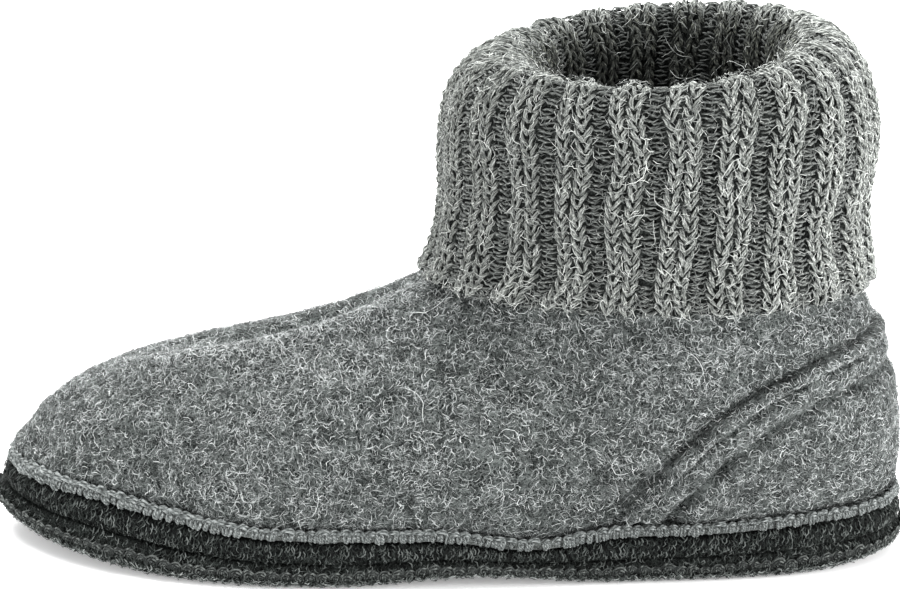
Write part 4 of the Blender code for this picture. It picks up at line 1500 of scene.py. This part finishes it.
purls = shape_set("purl_bumps")
x = np.array((-0.5, -0.2, 0.2, 0.5))
for tile in range(LEG_KINDS):
    bow = np.cos(math.pi * x) * MM
    path = np.stack([x, draw.normal(0, 0.3 * MM, 4) - 0.4 * bow, 0.8 * bow], 1)
    yarn_piece(f"purl_bump_{tile:02}", [path], PURL_RADIUS * np.array((0.6, 1, 1, 0.6)), 3, tile, purls)
grids = np.meshgrid(np.arange(2 * stitch_rows) / 2, np.arange(RIB_COUNT), (-1, 1), indexing="ij")
row_count, rib, wale = (grid.ravel() for grid in grids)
purl_row = row_at(row_count + 0.13 + 0.13 * wale + draw.normal(0, 0.09, len(row_count)))
purl_place = rib + 0.5 + wale * PURL_SIDE
left, _ = on_cuff(purl_row, purl_place - PURL_HALF, PURL_LIFT)
right, _ = on_cuff(purl_row, purl_place + PURL_HALF, PURL_LIFT)
_, out = on_cuff(purl_row, purl_place, 0.0)
size = np.stack([np.linalg.norm(right - left, axis=1), np.ones(len(left)), np.ones(len(left))], 1)
purl = stitch_piece("cuff_purl_stitches", (left + right) / 2, out, right - left, size, purls, 8, purl_yarn)
drop_set(purls)
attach(purl, "root")

# Fuzz that stands off the knit, over ribs and valleys alike, and a few long hairs
fuzz_face, _ = on_cuff(row_grid, place_grid, rib_rise(place_grid) * RIB_DEPTH + FUZZ_LIFT)
faces, places = sleeve_faces(CUFF_WALL_ROWS, len(wall_places))
fuzz_carrier = make_piece("fuzz_carrier", fuzz_face, faces, places, cuff_fibre)
fuzz_share = 0.35 + 0.65 * rib_rise(place_grid) + 0.8 * (row_grid < 0.5)
fuzz_share = fuzz_share * np.clip((FUZZ_TOP_ROW - row_grid) / 1.5, 0, 1)
fuzz_curls = fibre_curls("fuzz_curls", length=3.2 * MM, width=0.13 * MM, bend=1.5, lift=1.2 * MM, seed=71)
long_hairs = fibre_curls(
    "long_cuff_hairs", length=10 * MM, width=0.14 * MM, bend=1.8, lift=4.5 * MM, seed=75, kinds=((8, 1.0),)
)
for name, share, curls, per_square_metre, sizes, seed in (
    ("cuff_fuzz", fuzz_share, fuzz_curls, CUFF_FUZZ_PER_M2, (0.5, 1.3), 73),
    ("cuff_long_hairs", row_grid < LAST_STITCH_ROW, long_hairs, CUFF_HAIRS_PER_M2, (0.4, 1.2), 77),
):
    fuzz = nap_piece(name, fuzz_carrier, share, curls, per_square_metre, sizes, seed, cuff_fibre)
    drop_set(curls)
    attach(fuzz, "root")
bpy.data.objects.remove(fuzz_carrier)


# Floor, light and camera: a plain white sweep under soft studio light, seen from the outer side of the foot,
# a little towards the heel and from above.
CAMERA_AZIMUTH = math.radians(3)
CAMERA_ELEVATION = math.radians(18.5)
CAMERA_DISTANCE = 1.8
CAMERA_TARGET = np.array((1.0, 0.0, 77.3)) * MM
PIXELS_PER_MM = 3.31
IMAGE_WIDTH = 900
FLOOR_REACH = 6.0
LIGHTS_AIM = np.array((0, 0, 0.08))

# Matt white paint that glows a little, so that the ground stays white right up to the sole
floor_paint = bpy.data.materials.new("matt white floor")
floor_paint.use_nodes = True
for socket, value in (
    ("Base Color", linear("#fafafa")),
    ("Roughness", 0.9),
    ("Emission Color", linear("#ffffff")),
    ("Emission Strength", 0.25),
):
    floor_paint.node_tree.nodes["Principled BSDF"].inputs[socket].default_value = value
floor_mesh = bpy.data.meshes.new("floor")
corners = [(FLOOR_REACH * x, FLOOR_REACH * y, 0) for x, y in ((-1, -1), (1, -1), (1, 1), (-1, 1))]
floor_mesh.from_pydata(corners, [], [(0, 1, 2, 3)])
floor_mesh.materials.append(floor_paint)
floor = in_scene("floor", floor_mesh)

world = bpy.data.worlds.new("white studio")
world.use_nodes = True
world.node_tree.nodes["Background"].inputs["Color"].default_value = linear("#ffffff")
world.node_tree.nodes["Background"].inputs["Strength"].default_value = 1.0
bpy.context.scene.world = world
bpy.context.scene.view_settings.view_transform = "Standard"

for label, place, width, height, power in (
    ("overhead softbox", (-0.1, 0.1, 1.3), 1.3, 0.9, 32.0),
    ("back softbox", (-0.1, 1.5, 1.05), 1.6, 0.8, 90.0),
    ("toe side light", (-1.3, -0.8, 0.3), 0.8, 0.6, 10.0),
    ("heel side light", (1.4, -0.35, 0.35), 0.8, 0.6, 32.0),
):
    lamp = bpy.data.lights.new(label, "AREA")
    lamp.shape = "RECTANGLE"
    lamp.size = width
    lamp.size_y = height
    lamp.energy = power
    stand = in_scene(label, lamp)
    stand.location = place
    aim = LIGHTS_AIM - place
    tilt = math.atan2(math.hypot(aim[0], aim[1]), -aim[2])
    stand.rotation_euler = (tilt, 0, math.atan2(aim[0], -aim[1]) + math.pi)

lens = bpy.data.cameras.new("camera")
lens.sensor_width = 36
lens.lens = PIXELS_PER_MM / MM * CAMERA_DISTANCE / IMAGE_WIDTH * lens.sensor_width
lens.clip_end = 50
camera = in_scene("camera", lens)
away = np.array(
    (
        math.sin(CAMERA_AZIMUTH) * math.cos(CAMERA_ELEVATION),
        -math.cos(CAMERA_AZIMUTH) * math.cos(CAMERA_ELEVATION),
        math.sin(CAMERA_ELEVATION),
    )
)
camera.location = CAMERA_TARGET + CAMERA_DISTANCE * away
camera.rotation_euler = (math.pi / 2 - CAMERA_ELEVATION, 0, CAMERA_AZIMUTH)
bpy.context.scene.camera = camera
